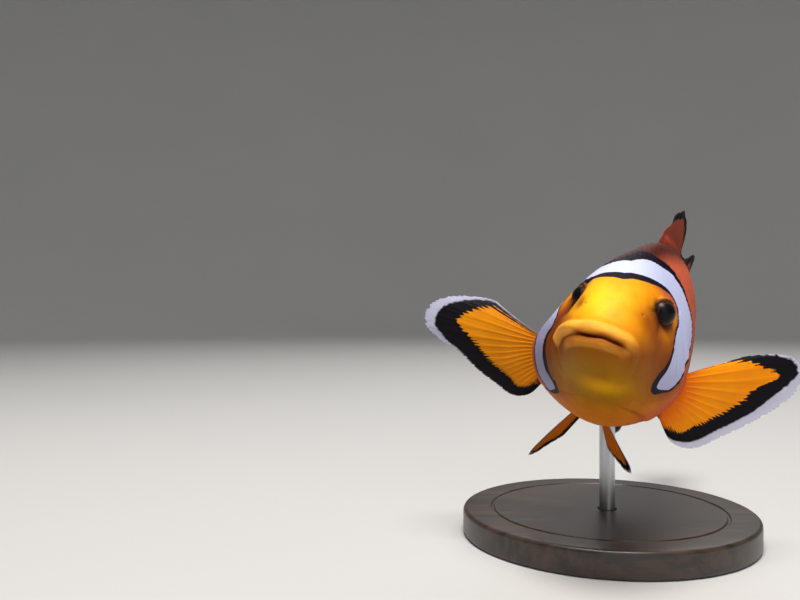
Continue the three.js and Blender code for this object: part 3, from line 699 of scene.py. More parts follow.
def toned():
    """The colour of the skin apart from bars and borders, with painted shade and painted highlights on the
    face and back.
    """
    u, z = BASE[..., 0], BASE[..., 2]
    colour = np.broadcast_to(FLANK, BASE.shape).copy()

    def wash(over, share):
        colour[:] = lerp(colour, over, np.clip(share, 0, 1)[..., None])

    wash(BELLY_ORANGE, 1 - smoothstep(GRID_Q, 0.02, 0.16))
    behind_head = smoothstep(u, 10, 14)
    wash(BACK_BROWN_AND_SHADE, 0.95 * smoothstep(GRID_Q, 0.435, 0.48) * behind_head)
    # Painted shade on the fish's right side of the back, behind the head.
    right_back_shade = smoothstep(GRID_Q, 0.34, 0.42) * (GRID_SIDE < 0)
    wash(BACK_BROWN_AND_SHADE, 0.95 * right_back_shade * behind_head)
    nape = smoothstep(GRID_Q, 0.34, 0.44)
    face = 1 - smoothstep(u, lerp(13, 8.5, nape), lerp(19, 11.5, nape))
    wash(THROAT, face)
    # Darker low on the face: partly the cheek's own brown, partly painted shade.
    wash(CHEEK_BROWN_AND_SHADE, face * smoothstep(z, -9, -4))
    wash(FACE, face * smoothstep(z, -1.5, 4))
    # Painted highlight on the forehead.
    wash(FOREHEAD_HIGHLIGHT, 1.1 * spot((4.2, -2.2, 6), (6, 5, 4.6)))
    wash(SHADED_CHEEK, bump(skin_line(CHEEK_SHADE, 6)[0], 2.6))
    # Painted shade on the fish's left cheek.
    wash(CHEEK_BROWN_AND_SHADE, 0.9 * bump(skin_line(LEFT_CHEEK_SHADE, 6)[0], 2.7))
    low_face = face * (1 - smoothstep(GRID_Q, 0.3, 0.36))
    wash(SHADED_CHEEK, 0.55 * bump(np.clip(-INK, 0, None), 1.8) * low_face)
    # Painted shade under the jaw.
    wash(SHADED_CHIN, 1.6 * spot((4, -0.6, -7.2), (9, 8.6, 5)))
    # Painted highlight on the chin.
    wash(CHIN_HIGHLIGHT, 0.9 * spot((5.4, 1.2, -7), (2.4, 4.6, 1.4)))
    wash(SHADED_CHEEK, 0.8 * spot((5.4, -5.5, 5.0), (1.5, 0.9, 1.5)))
    # Painted shade in the fold across the throat.
    crease = np.minimum(*[distance_to(side_path(THROAT_FOLD, side), 4)[0] for side in (1, -1)])
    wash(MOUTH_AND_CREASE_SHADE, 0.5 * bump(crease, 0.5) * smoothstep(GRID_Q, 0.04, 0.1))
    wash(LIP, 0.9 * bar_of(UPPER_GAP, 1.7) * UPPER_LIP_SHARE * smoothstep(UPPER_ALONG, 0.1, 0.45))
    wash(LIP, 0.5 * bar_of(LOWER_GAP, 1.1) * LOWER_LIP_SHARE)
    # Painted shade on the lower lip just under the slit.
    below = smoothstep(UPPER_GAP - LOWER_GAP, 0, 0.8) * smoothstep(LOWER_ALONG, 0.1, 0.3)
    wash(MOUTH_AND_CREASE_SHADE, 0.55 * bump(SLIT_GAP, 1.1) * below)
    # The slit: the mouth's dark inside, with painted shade in its groove.
    opening = smoothstep(1 - np.abs(2 * SLIT_ALONG - 1), 0.4, 0.62)
    wash(MOUTH_AND_CREASE_SHADE, bump(SLIT_GAP, lerp(0.18, 0.5, opening)) * lerp(0.3, 1, opening))
    for side in (1, -1):
        _, reach, _, gap = eye_distances(SKIN, side)
        wash(EYE_SHADOW, 0.95 * bump(np.maximum(gap - 0.35, 0), 0.7) * (reach < EYE_REACH))
    return colour


def bar_shade():
    """How much painted shade darkens the white of the bars: low on the head, most on the fish's right."""
    z = BASE[..., 2]
    head = 1 - smoothstep(GRID_U, 26, 30)
    return head * np.where(GRID_SIDE < 0, smoothstep(4 - z, 0, 5), 0.6 * smoothstep(-z, 0, 7))


BAR, INK = markings()
BAR_SHADE = bar_shade()
TONE = toned()

# ---------------- meshes


def new_object(name, points, faces):
    """An object of these points, in millimetres in the model's frame."""
    mesh = bpy.data.meshes.new(name)
    mesh.from_pydata((np.asarray(points) * MM).tolist(), [], faces)
    mesh.validate()
    mesh.polygons.foreach_set("use_smooth", [True] * len(mesh.polygons))
    piece = bpy.data.objects.new(name, mesh)
    bpy.context.scene.collection.objects.link(piece)
    return piece


def set_number(piece, name, values):
    field = piece.data.attributes.new(name, "FLOAT", "POINT")
    field.data.foreach_set("value", np.asarray(values, np.float32).ravel())


def set_colour(piece, name, values):
    values = np.asarray(values, np.float32).reshape(-1, 3)
    field = piece.data.color_attributes.new(name, "FLOAT_COLOR", "POINT")
    full = np.concatenate([values, np.ones((len(values), 1), np.float32)], axis=1)
    field.data.foreach_set("color", full.ravel())


def set_markings(piece, read):
    """The fields of the markings, as read() takes them from the grid."""
    for name, field in (("bar", BAR), ("ink", INK), ("dim", BAR_SHADE)):
        set_number(piece, name, read(field))
    set_colour(piece, "tone", read(TONE))


def set_uv(piece, name, uv_of_point):
    """A UV map that gives every corner its point's place on the map."""
    layer = piece.data.uv_layers.new(name=name)
    corner = np.zeros(len(piece.data.loops), np.int32)
    piece.data.loops.foreach_get("vertex_index", corner)
    layer.data.foreach_set("uv", np.asarray(uv_of_point, np.float32)[corner].ravel())


def sheet_faces(rows, columns, wrap=False):
    """Quads of a grid of points stored row by row."""
    r = np.arange(rows - 1)[:, None]
    c = np.arange(columns if wrap else columns - 1)[None, :]
    across = (c + 1) % columns
    corners = [r * columns + c, (r + 1) * columns + c, (r + 1) * columns + across, r * columns + across]
    return np.stack(corners, -1).reshape(-1, 4)


def carry(piece, look, slot, *nodes):
    """The piece has this look, rides on the one body and stands for these CAD nodes."""
    piece.data.materials.append(look)
    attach(piece, "root")
    if nodes:
        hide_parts(*nodes)

# ---------------- materials


class Shader:
    """A short way to write a node material."""

    def __init__(self, name):
        self.material = bpy.data.materials.new(name)
        self.material.use_nodes = True
        self.tree = self.material.node_tree
        self.surface = self.tree.nodes["Principled BSDF"]

    def node(self, kind, **settings):
        made = self.tree.nodes.new(kind)
        for key, value in settings.items():
            setattr(made, key, value)
        return made

    def put(self, socket, value):
        if isinstance(value, bpy.types.NodeSocket):
            self.tree.links.new(value, socket)
        elif socket.type == "RGBA":
            socket.default_value = (*[float(v) for v in value], 1)
        else:
            socket.default_value = value

    def set(self, **inputs):
        """Inputs of the surface, with _ for the spaces in their names."""
        for key, value in inputs.items():
            self.put(self.surface.inputs[key.replace("_", " ")], value)

    def number(self, name):
        return self.node("ShaderNodeAttribute", attribute_name=name).outputs["Fac"]

    def colour(self, name):
        return self.node("ShaderNodeAttribute", attribute_name=name).outputs["Color"]

    def math(self, operation, a, b=0.0, c=0.0):
        made = self.node("ShaderNodeMath", operation=operation)
        for socket, value in zip(made.inputs, (a, b, c)):
            self.put(socket, value)
        return made.outputs[0]

    def scaled(self, value, by, plus=0.0):
        return self.math("MULTIPLY_ADD", value, by, plus)

    def ragged(self, scale, detail, width):
        """Noise about 0, to make an edge uneven."""
        return self.scaled(self.math("SUBTRACT", self.noise(scale, detail), 0.5), width)

    def step(self, value, low, high):
        """0 below low, 1 above high, smooth between."""
        made = self.node("ShaderNodeMapRange", interpolation_type="SMOOTHSTEP")
        for key, item in (("Value", value), ("From Min", low), ("From Max", high)):
            self.put(made.inputs[key], item)
        return made.outputs["Result"]

    def mix(self, share, a, b, blend="MIX"):
        made = self.node("ShaderNodeMix", data_type="RGBA", blend_type=blend)
        self.put(made.inputs[0], share)
        self.put(made.inputs[6], a)
        self.put(made.inputs[7], b)
        return made.outputs[2]

    def noise(self, scale, detail=3.0, stretch=None, roughness=0.5):
        made = self.node("ShaderNodeTexNoise")
        spot = self.node("ShaderNodeTexCoord").outputs["Object"]
        if stretch:
            mapping = self.node("ShaderNodeMapping")
            self.put(mapping.inputs["Vector"], spot)
            self.put(mapping.inputs["Scale"], stretch)
            spot = mapping.outputs["Vector"]
        settings = (("Vector", spot), ("Scale", scale), ("Detail", detail), ("Roughness", roughness))
        for key, value in settings:
            self.put(made.inputs[key], value)
        return made.outputs["Fac"]

    def bump(self, height, distance, strength):
        made = self.node("ShaderNodeBump")
        for key, value in (("Strength", strength), ("Distance", distance), ("Height", height)):
            self.put(made.inputs[key], value)
        self.set(Normal=made.outputs["Normal"])


def skin_material(name, on_scales):
    """Orange skin with white bars and black borders, read from the fields on the mesh."""
    m = Shader(name)
    fine = m.noise(2600, 3)
    tone = m.mix(m.step(m.noise(420, 4), 0.35, 0.75), m.colour("tone"), (0.9, 0.82, 0.8), "MULTIPLY")
    tone = m.mix(m.scaled(m.step(fine, 0.5, 0.8), 0.25), tone, (1.2, 1.1, 0.9), "MULTIPLY")
    white = m.mix(m.step(m.noise(500, 3), 0.4, 0.8), WHITE, WHITE_MOTTLE)
    white = m.mix(m.number("dim"), white, WHITE_IN_SHADE, "MULTIPLY")
    if on_scales:
        rim = m.scaled(m.number("rim"), 0.35)
        tone = m.mix(rim, tone, (0.62, 0.5, 0.42), "MULTIPLY")
        white = m.mix(rim, white, (0.72, 0.72, 0.84), "MULTIPLY")
    edge = m.ragged(900, 2, 0.22)
    inked = m.math("ADD", m.number("ink"), edge)
    barred = m.math("ADD", m.number("bar"), m.scaled(edge, 0.5))
    colour = m.mix(m.step(inked, -0.12, 0.08), tone, BLACK)
    colour = m.mix(m.step(barred, -0.05, 0.05), colour, white)
    m.set(
        Base_Color=colour, Roughness=m.scaled(m.noise(1100, 3), 0.25, 0.36), Specular_IOR_Level=0.08,
        Subsurface_Weight=0.12, Subsurface_Radius=(1.0, 0.4, 0.18), Subsurface_Scale=0.0007,
    )
    m.bump(m.math("ADD", fine, m.scaled(m.noise(5200, 2), 0.5)), 0.00004, 0.5)
    return m.material


def build_skin():
    """The grid of the skin as one mesh, closed at the snout and at the tail."""
    faces = sheet_faces(ROWS, COLUMNS, wrap=True).tolist()
    front, rear = ROWS * COLUMNS, ROWS * COLUMNS + 1
    last = (ROWS - 1) * COLUMNS
    for c in range(COLUMNS):
        after = (c + 1) % COLUMNS
        faces.append((front, c, after))
        faces.append((rear, last + after, last + c))
    centres = [SKIN[0].mean(axis=0), SKIN[-1].mean(axis=0)]
    skin = new_object("skin", place(np.concatenate([SKIN.reshape(-1, 3), centres])), faces)

    def with_ends(field):
        flat_field = field.reshape(ROWS * COLUMNS, -1)
        return np.concatenate([flat_field, flat_field[:1], flat_field[-1:]])

    set_markings(skin, with_ends)
    carry(
        skin, skin_material("clownfish_skin", False), "skin_orange", "head", "lower_jaw", "lip_upper",
        "lip_lower", "gill_cover_left", "gill_cover_right", "trunk", "tail_stem",
    )


build_skin()

# ---------------- fins
MEMBRANE = 0.1
ROOT_FLARE_SPREAD = 1.1
ROOT_FLARE_EDGE = 1.5
EDGE_TAPER = 1.6
CLEAR_TEETH = 0.12
TEETH_PER_RAY = 3
# The blades' slight waves: height at the edge in millimetres, and rate.
MEDIAN_WAVE = (0.18, 1.1)
CAUDAL_WAVE = (0.35, 9)
PECTORAL_WAVE = (0.25, 11)
CAUDAL_ROOT_INSET = 0.6


def wave(at, t, height, rate):
    return height * np.sin(at * rate) * t**2


def fin_gap(grid):
    """Distance of each point of a blade from its free edge, and the place along that edge."""
    edge = np.concatenate([grid[0, 1:], grid[1:-1, -1], grid[-1, :0:-1]])
    walked = running_sum(np.linalg.norm(np.diff(edge, axis=0), axis=-1))
    gap = np.full(grid.shape[:2], FAR)
    along = np.zeros(grid.shape[:2])
    for corner, share in zip(edge, walked / walked[-1]):
        found = np.linalg.norm(grid - corner, axis=-1)
        along = np.where(found < gap, share, along)
        gap = np.minimum(gap, found)
    return gap, along


def ray_ridge(phase, t, split):
    """Height of the fin rays, from 0 to 1: each ray forks once past split and again near the edge."""
    off = phase - np.floor(phase) - 0.5
    first = 0.2 * smoothstep(t, split, 1.0)
    second = 0.1 * smoothstep(t, lerp(split, 1, 0.5), 1.05)
    width = lerp(0.17, 0.075, smoothstep(t, 0, 1))
    branches = [bump(off + a * first + b * second, width) for a in (-1, 1) for b in (-1, 1)]
    return np.max(branches, axis=0)


def blade_faces(rows, columns):
    """Faces of two sheets of a blade, one reversed, and of the strip round them that joins them."""
    total = rows * columns
    sheet = sheet_faces(rows, columns)
    index = np.arange(total).reshape(rows, columns)
    ring = np.concatenate([index[:, 0], index[-1, 1:], index[-2::-1, -1], index[0, -2:0:-1]])
    after = np.roll(ring, -1)
    strip = np.stack([ring, after, after + total, ring + total], -1)
    return np.concatenate([sheet, sheet[:, ::-1] + total, strip]).tolist()


def build_fin(
    name, nodes, point_at, rays, along_steps, tints, black, clear, teeth, seed,
    ray=0.17, split=0.45, scallop=0.02, flare=0.5, root=0.0, per_ray=10,
):
    """A fin as a two-sided blade, thicker along its rays and at its root.

    black and clear are tables of (place along the free edge, width in millimetres) of the black
    margin and of the clear rim outside it. tints are the colours at the root and further out.
    """
    s = np.linspace(0, 1, rays * per_ray + 1)[:, None]
    t = np.linspace(0, 1, along_steps)[None, :]
    shape = (len(s), along_steps)
    phase = np.broadcast_to(s * rays, shape)
    dip = scallop * (1 - ray_ridge(phase[:, :1], np.ones_like(s), split)) ** 1.5
    grid = point_at(s, t * (1 - dip))
    gap, along = fin_gap(grid)
    normal = unit(np.cross(np.gradient(grid, axis=0), np.gradient(grid, axis=1)))
    out = t * np.linalg.norm(grid[:, -1] - grid[:, 0], axis=-1)[:, None] - root
    ridge = ray_ridge(phase, np.broadcast_to(t, shape), split)
    taper = smoothstep(gap, 0, EDGE_TAPER)
    half = MEMBRANE * lerp(0.45, 1, taper) + ray * ridge * lerp(0.25, 1, taper) * lerp(1, 0.6, t)
    half += flare * bump(np.maximum(out, 0), ROOT_FLARE_SPREAD) * smoothstep(gap, 0, ROOT_FLARE_EDGE)
    tooth_size = np.random.default_rng(seed).uniform(0.55, 1.35, rays + 1)
    size = np.interp(phase, np.arange(rays + 1), tooth_size)
    saw = np.abs(((phase * TEETH_PER_RAY + 0.13 * np.sin(phase * 5)) % 1) - 0.5) * 2 - 0.5
    black_width, clear_width = np.interp(along, *zip(*black)), np.interp(along, *zip(*clear))
    sides = [grid + normal * half[..., None], grid - normal * half[..., None]]
    fin = new_object(name, place(np.concatenate(sides).reshape(-1, 3)), blade_faces(*shape))
    fields = {
        "black": black_width + clear_width + teeth * size * saw - gap,
        "clear": clear_width + CLEAR_TEETH * saw - gap,
        "ray": ridge,
    }
    for field, values in fields.items():
        set_number(fin, field, np.tile(values.ravel(), 2))
    tint = lerp(tints[0], tints[1], smoothstep(out, 0.5, 9)[..., None])
    set_colour(fin, "tint", np.tile(tint.reshape(-1, 3), (2, 1)))
    carry(fin, FIN_LOOK, "fin", *nodes)


def fin_material():
    m = Shader("clownfish_fin")
    mottle = m.scaled(m.step(m.noise(260, 2), 0.35, 0.7), 0.5)
    colour = m.mix(mottle, m.colour("tint"), (0.88, 0.8, 0.7), "MULTIPLY")
    colour = m.mix(m.scaled(m.number("ray"), 0.35), colour, (1.12, 1.1, 1.05), "MULTIPLY")
    ragged = m.ragged(1500, 3, 0.7)
    black = m.math("ADD", m.number("black"), ragged)
    clear = m.step(m.math("ADD", m.number("clear"), m.scaled(ragged, 0.3)), -0.2, 0.25)
    colour = m.mix(m.step(black, -0.14, 0.14), colour, FIN_BLACK)
    m.set(
        Base_Color=m.mix(clear, colour, CLEAR_RIM), Alpha=m.scaled(clear, -0.5, 1.0),
        Roughness=m.scaled(m.noise(1800, 2), 0.2, 0.5), Specular_IOR_Level=0.12,
        Subsurface_Weight=0.1, Subsurface_Radius=(1.0, 0.5, 0.15), Subsurface_Scale=0.0005,
    )
    m.bump(m.noise(4200, 2), 0.00003, 0.4)
    return m.material


FIN_LOOK = fin_material()


def median_point(fin):
    """A fin on the midline, by its heights and how far it leans back and to the side."""
    height_at = smooth_table(fin["station"], fin["height"])
    edge_at = back_at if fin["side"] > 0 else belly_at
    first, last = fin["station"][0], fin["station"][-1]

    def point_at(s, t):
        u = lerp(first, last, s)
        share = (u - first) / (last - first)
        lean = np.radians(lerp(*fin["lean"], share**2))
        height = height_at(u)
        root = np.stack([u, 0 * u, edge_at(u) - fin["side"] * FIN_ROOT_DEPTH], -1)
        tip_z = edge_at(u) + fin["side"] * height
        tip = np.stack([u + height * np.tan(lean), lerp(*fin["sway"], share) * height, tip_z], -1)
        grid = root + (tip - root) * t[..., None]
        grid[..., 1] += wave(u, t, *MEDIAN_WAVE)
        return grid

    return point_at


def caudal_point(s, t):
    angle = CAUDAL_HALF_ANGLE * (1 - 2 * s)
    radius = CAUDAL_RADIUS - CAUDAL_CORNER_CUT * np.abs(1 - 2 * s) ** 5
    root_z = CAUDAL_ROOT_HALF_HEIGHT * (1 - 2 * s) + widest_at(BODY_LENGTH)
    root = np.stack([np.full_like(s, BODY_LENGTH - CAUDAL_ROOT_INSET), 0 * s, root_z], -1)
    tip = np.stack([CAUDAL_APEX + radius * np.cos(angle), 0 * s, radius * np.sin(angle)], -1)
    grid = root + (tip - root) * t[..., None]
    grid[..., 1] += wave(s, t, *CAUDAL_WAVE)
    return grid


def pectoral_point(pose):
    reach_at = smooth_table(PECTORAL_RAY, pose["reach"])
    sweep = np.radians(pose["sweep"])

    def on_blade(out, z):
        u = PECTORAL_STATION + out * np.sin(sweep)
        y = pose["side"] * (PECTORAL_HALF_WIDTH + out * np.cos(sweep))
        return np.stack([u, y, z], -1)

    def point_at(s, t):
        root = on_blade(*[lerp(top, low, s) for top, low in zip(PECTORAL_ROOT_TOP, PECTORAL_ROOT_BOTTOM)])
        angle = np.radians(lerp(pose["top"], pose["bottom"], s))
        reach = reach_at(s)
        tip = on_blade(PECTORAL_APEX[0] + reach * np.cos(angle), PECTORAL_APEX[1] + reach * np.sin(angle))
        grid = root + (tip - root) * t[..., None]
        grid[..., 0] += PECTORAL_CUP * t**2 + wave(s, t, *PECTORAL_WAVE)
        grid[..., 2] -= pose["droop"] * (1 - t**2) * (1 - s) ** 3
        return grid

    return point_at


def pelvic_point(pose):
    reach_at = smooth_table(PELVIC_RAY, PELVIC_REACH)
    flip = np.array([1, pose["side"], 1])
    front, rear = np.array(PELVIC_ROOT_FRONT) * flip, np.array(PELVIC_ROOT_REAR) * flip
    ahead, behind = np.array(pose["front"]) * flip, np.array(pose["rear"]) * flip

    def point_at(s, t):
        root = lerp(front, rear, s[..., None])
        way = unit(lerp(ahead, behind, s[..., None]))
        reach = (reach_at(s) * pose["scale"])[..., None] * t[..., None]
        return root + way * reach

    return point_at


DORSAL_TINTS = (linear(140, 58, 40), linear(150, 70, 46))
CAUDAL_TINTS = (linear(226, 104, 30), linear(240, 140, 16))
PELVIC_TINTS = (linear(190, 96, 24), linear(206, 110, 18))
# The left fin is redder at its root; the right fin's tints are darker than the left's, as painted shade.
PECTORAL_TINTS_AND_SHADE = {
    "left": (linear(226, 92, 14), linear(246, 146, 2)),
    "right": (linear(206, 120, 2), linear(214, 132, 2)),
}
# Widths of the paired fins' black margin and of the clear rim outside it, along the free edge.
PECTORAL_BLACK = {
    "left": [
        (0, 0), (0.14, 0.1), (0.2, 1.2), (0.27, 2.8), (0.34, 4.9), (0.39, 7.2), (0.45, 6.1), (0.5, 4.3),
        (0.57, 3.2), (0.65, 2.6), (0.75, 2.7), (0.83, 3.2), (0.88, 2.4), (0.93, 0.9), (1, 0.3),
    ],
    "right": [
        (0, 0.3), (0.1, 0.5), (0.18, 0.9), (0.24, 1.8), (0.3, 3.7), (0.35, 6.5), (0.4, 7.7), (0.45, 6.7),
        (0.5, 5.0), (0.55, 4.0), (0.6, 3.4), (0.7, 3.1), (0.8, 3.0), (0.88, 2.1), (1, 1.0),
    ],
}
PECTORAL_CLEAR = {
    "left": [
        (0, 0), (0.2, 0.05), (0.28, 0.4), (0.35, 0.6), (0.4, 1.3), (0.46, 2.2), (0.52, 2.2), (0.58, 1.6),
        (0.8, 1.5), (0.86, 1.0), (0.9, 0.2), (1, 0),
    ],
    "right": [
        (0, 0), (0.1, 0.1), (0.2, 0.3), (0.25, 0.6), (0.3, 1.1), (0.35, 1.7), (0.4, 2.1), (0.45, 1.7),
        (0.5, 1.2), (0.55, 0.6), (0.6, 0.2), (0.66, 0.05), (1, 0),
    ],
}
PELVIC_BLACK = {
    "left": [(0, 0), (0.2, 0.15), (0.34, 1.4), (0.43, 2.6), (0.55, 1.6), (0.72, 0.4), (1, 0)],
    "right": [(0, 0), (0.3, 0.1), (0.4, 1.4), (0.47, 2.6), (0.6, 1.8), (0.75, 1.4), (1, 0.9)],
}


def build_fins():
    build_fin(
        "dorsal_fin", ["dorsal_fin_spiny", "dorsal_fin_soft"], median_point(DORSAL), 25, 34, DORSAL_TINTS,
        black=[(0, 0), (0.1, 0.3), (0.18, 1.4), (0.26, 1.9), (0.4, 1.6), (0.6, 2.2), (0.8, 2), (1, 1)],
        clear=[(0, -0.6), (1, -0.6)],
        teeth=0.4, seed=3, scallop=0.03, root=FIN_ROOT_DEPTH, flare=0.75, split=0.7,
    )
    build_fin(
        "anal_fin_blade", ["anal_fin"], median_point(ANAL), 14, 34, PELVIC_TINTS,
        black=[(0, 0.6), (0.3, 1.2), (0.8, 1.4), (1, 0.6)], clear=[(0, 0.1), (0.5, 0.25), (1, 0.1)],
        teeth=0.5, seed=4, root=FIN_ROOT_DEPTH, flare=0.7,
    )
    build_fin(
        "caudal_fin_blade", ["caudal_fin"], caudal_point, 17, 46, CAUDAL_TINTS,
        black=[(0, 1.0), (0.3, 1.6), (0.5, 2.2), (0.7, 1.6), (1, 1.0)],
        clear=[(0, 0.1), (0.35, 0.5), (0.5, 0.8), (0.65, 0.5), (1, 0.1)],
        teeth=0.9, seed=5, flare=0.3, split=0.3,
    )
    for name, pose in PECTORAL_POSE.items():
        build_fin(
            f"pectoral_fin_blade_{name}", [f"pectoral_fin_{name}"], pectoral_point(pose), 17, 80,
            PECTORAL_TINTS_AND_SHADE[name], black=PECTORAL_BLACK[name], clear=PECTORAL_CLEAR[name],
            teeth=0.95, seed=6 if name == "left" else 7, ray=0.1, flare=1.0, split=0.4,
        )
    for name, pose in PELVIC_POSE.items():
        build_fin(
            f"pelvic_fin_blade_{name}", [f"pelvic_fin_{name}"], pelvic_point(pose), 6, 46, PELVIC_TINTS,
            black=PELVIC_BLACK[name], clear=[(0, 0), (0.45, 0.08), (0.6, 0.1), (1, 0)],
            teeth=0.6, seed=8 if name == "left" else 9, flare=0.6, split=0.35, scallop=0.06, per_ray=14,
        )


build_fins()

# ---------------- eyes
EYE_RINGS = 72
EYE_SPOKES = 96
CORNEA_RADIUS = 1.75
CORNEA_RISE = 0.16
PUPIL_RADIUS = 1.5
IRIS_RADIUS = 1.95
EYE_GAP = 0.04


def eye_material():
    m = Shader("clownfish_eye")
    off = m.number("off_axis")
    streak = m.noise(2400, 3)
    iris = m.mix(m.step(streak, 0.3, 0.75), linear(26, 12, 9), linear(62, 29, 15))
    ring = m.mix(m.step(off, PUPIL_RADIUS + 0.02, PUPIL_RADIUS + 0.16), linear(70, 34, 18), iris)
    colour = m.mix(m.step(off, PUPIL_RADIUS - 0.05, PUPIL_RADIUS + 0.04), (0.002, 0.002, 0.004), ring)
    colour = m.mix(m.step(off, IRIS_RADIUS - 0.14, IRIS_RADIUS + 0.1), colour, linear(34, 16, 10))
    m.set(
        Base_Color=colour, Roughness=m.scaled(streak, 0.1, 0.3), Specular_IOR_Level=0.14,
        Coat_Weight=0.03, Coat_Roughness=0.08,
    )
    m.bump(streak, 0.00001, 0.3)
    return m.material


EYE_LOOK = eye_material()


def build_eye(word, side):
    """An eyeball with a raised front, turned about the way that its pupil points."""
    axis, up, across = eye_frame(EYE_GAZE[side], side)
    polar = np.linspace(0, np.pi, EYE_RINGS)[:, None]
    spoke = np.linspace(0, 2 * np.pi, EYE_SPOKES, endpoint=False)[None, :]
    off = EYE_RADIUS * np.sin(polar)
    ahead = polar < np.pi / 2
    rise = CORNEA_RISE * bar_of(off, CORNEA_RADIUS, 1.5) * ahead
    radius = EYE_RADIUS - EYE_GAP + rise
    way = np.cos(polar)[..., None] * axis + np.sin(polar)[..., None] * (
        np.cos(spoke)[..., None] * across + np.sin(spoke)[..., None] * up
    )
    grid = eye_centre(side) + way * radius[..., None]
    faces = sheet_faces(EYE_RINGS, EYE_SPOKES, wrap=True).tolist()
    eye = new_object(f"eyeball_{word}", place(grid.reshape(-1, 3)), faces)
    set_number(eye, "off_axis", np.repeat(np.where(ahead, off, EYE_RADIUS), EYE_SPOKES))
    carry(eye, EYE_LOOK, "eye", f"eye_{word}")


build_eye("left", 1)
build_eye("right", -1)

# ---------------- scales
SCALE_PITCH = 1.02
TAIL_PITCH_SHARE = 0.74
SCALE_FIRST = 8.6
SCALE_LAST = 75.2
# From each station on, how many scales go round the girth.
SCALE_LINES = ((8.0, 84), (47.0, 60), (62.0, 44))
# Station where the scales begin, by girth share: behind the eye, on the nape and cheek.
SCALE_START = [
    (0, 17.5), (0.06, 17), (0.12, 15.5), (0.2, 12.6), (0.28, 11.8), (0.34, 12.6), (0.4, 11.6),
    (0.46, 9.2), (0.5, 8.6),
]
SCALE_LIFT = 0.095
SKIRT_DEPTH = 0.03
SCALE_CELLS = 4
SCALE_SHARP_ANGLE = np.radians(50)
# Size on the UV map of one millimetre of a scale.
UV_PER_MM = 0.00125
SEED = 20


def scale_start(share):
    """Station where the scales begin, by their place round the girth."""
    return np.interp(np.minimum(share, 1 - share), *zip(*SCALE_START))


def one_scale():
    """A scale's grid, straight in front and round behind: place along it and across, height and rim."""
    a = np.linspace(0, 1, SCALE_CELLS + 1)[:, None]
    b = np.linspace(-1, 1, SCALE_CELLS + 1)[None, :]
    reach = lerp(-0.75, 0.85, a)
    width = np.sqrt(np.clip(1 - np.clip((reach - 0.1) / 0.78, 0, 1) ** 2, 0.02, 1))
    length = reach - 0.12 * b**2 * a
    lift = lerp(-0.5, 1.0, a) - 0.35 * b**2 * (1 - 0.4 * a)
    return length, b * width * 0.62, lift, np.broadcast_to(smoothstep(a, 0.62, 1.0), lift.shape)


def scale_faces(count):
    """Faces of that many scales, each a sheet with a skirt from its free edge down to the skin."""
    row = SCALE_CELLS + 1
    edge = np.arange(SCALE_CELLS) + SCALE_CELLS * row
    skirt = np.stack([edge, edge + row, edge + row + 1, edge + 1], -1)
    each = np.concatenate([sheet_faces(row, row), skirt])
    starts = np.arange(count) * row * (row + 1)
    return (each + starts[:, None, None]).reshape(-1, 4).tolist()


def scale_pitch(u):
    """Spacing of the rows of scales at station u, closer together towards the tail."""
    return SCALE_PITCH * lerp(1, TAIL_PITCH_SHARE, smoothstep(u, 40, 72))


def scale_places():
    """Of each scale: station, place round the girth, how many go round it, own size, turn and lift."""
    chance = np.random.default_rng(SEED)
    places, rows = [], [SCALE_FIRST]
    while rows[-1] < SCALE_LAST:
        rows.append(rows[-1] + scale_pitch(rows[-1]))
    for index, u in enumerate(rows):
        lines = [n for start, n in SCALE_LINES if start <= u][-1]
        for line in range(lines):
            share = ((line + 0.5 * (index % 2)) / lines) % 1.0
            own = chance.uniform(0.94, 1.07), chance.normal(0, 0.05), chance.uniform(0.85, 1.15)
            places.append((u, share, lines, *own))
    return np.array(places)


def build_scales(name, places, look):
    """The scales at these places as one mesh."""
    u, share, lines, size, turn, own_lift = places.T[..., None, None]
    length, width, lift, rim = one_scale()
    begins = scale_start(share)
    girth = np.interp(u, ROW_U, GIRTH)
    fade = smoothstep(u, begins - 0.5, begins + 4)
    back = (length * np.cos(turn) - width * np.sin(turn)) * scale_pitch(u) * size
    round_by = (width * np.cos(turn) + length * np.sin(turn)) * girth / lines * size
    lift = lift * SCALE_LIFT * own_lift * lerp(0.35, 1, fade)

    def with_skirt(grid):
        return np.concatenate([grid, grid[:, -1:]], axis=1)

    back, round_by, rim, lift = [with_skirt(grid) for grid in (back, round_by, rim * fade, lift)]
    lift[:, -1] = -SKIRT_DEPTH
    row = np.interp(u + back, ROW_U, np.arange(ROWS))
    column = (share + round_by / girth) * COLUMNS
    points = sample(SKIN, row, column) + sample(SKIN_NORMAL, row, column) * lift[..., None]
    scales = new_object(name, place(points.reshape(-1, 3)), scale_faces(len(places)))
    set_markings(scales, lambda field: sample(field, row, column))
    set_number(scales, "rim", rim)
    uv = np.stack([u / BODY_LENGTH + back * UV_PER_MM, share + round_by * UV_PER_MM], -1)
    set_uv(scales, "OFBake", uv.reshape(-1, 2))
    scales.data.set_sharp_from_angle(angle=SCALE_SHARP_ANGLE)
    carry(scales, look, "skin_orange")


def build_coat():
    """The scales of each side, which begin behind the bare face."""
    places = scale_places()
    places = places[places[:, 0] >= scale_start(places[:, 1])]
    on_left = places[:, 1] <= 0.5
    look = skin_material("clownfish_scales", True)
    build_scales("scales_left", places[on_left], look)
    build_scales("scales_right", places[~on_left], look)


build_coat()

# ---------------- stand
GROOVE_RADIUS = 22.2
GROOVE_DEPTH = 0.25
SOCKET_GAP = 0.3
SOCKET_FLOOR = 1.7
SMALL_BEVEL = 0.15
TURNED_SHARP_ANGLE = np.radians(40)


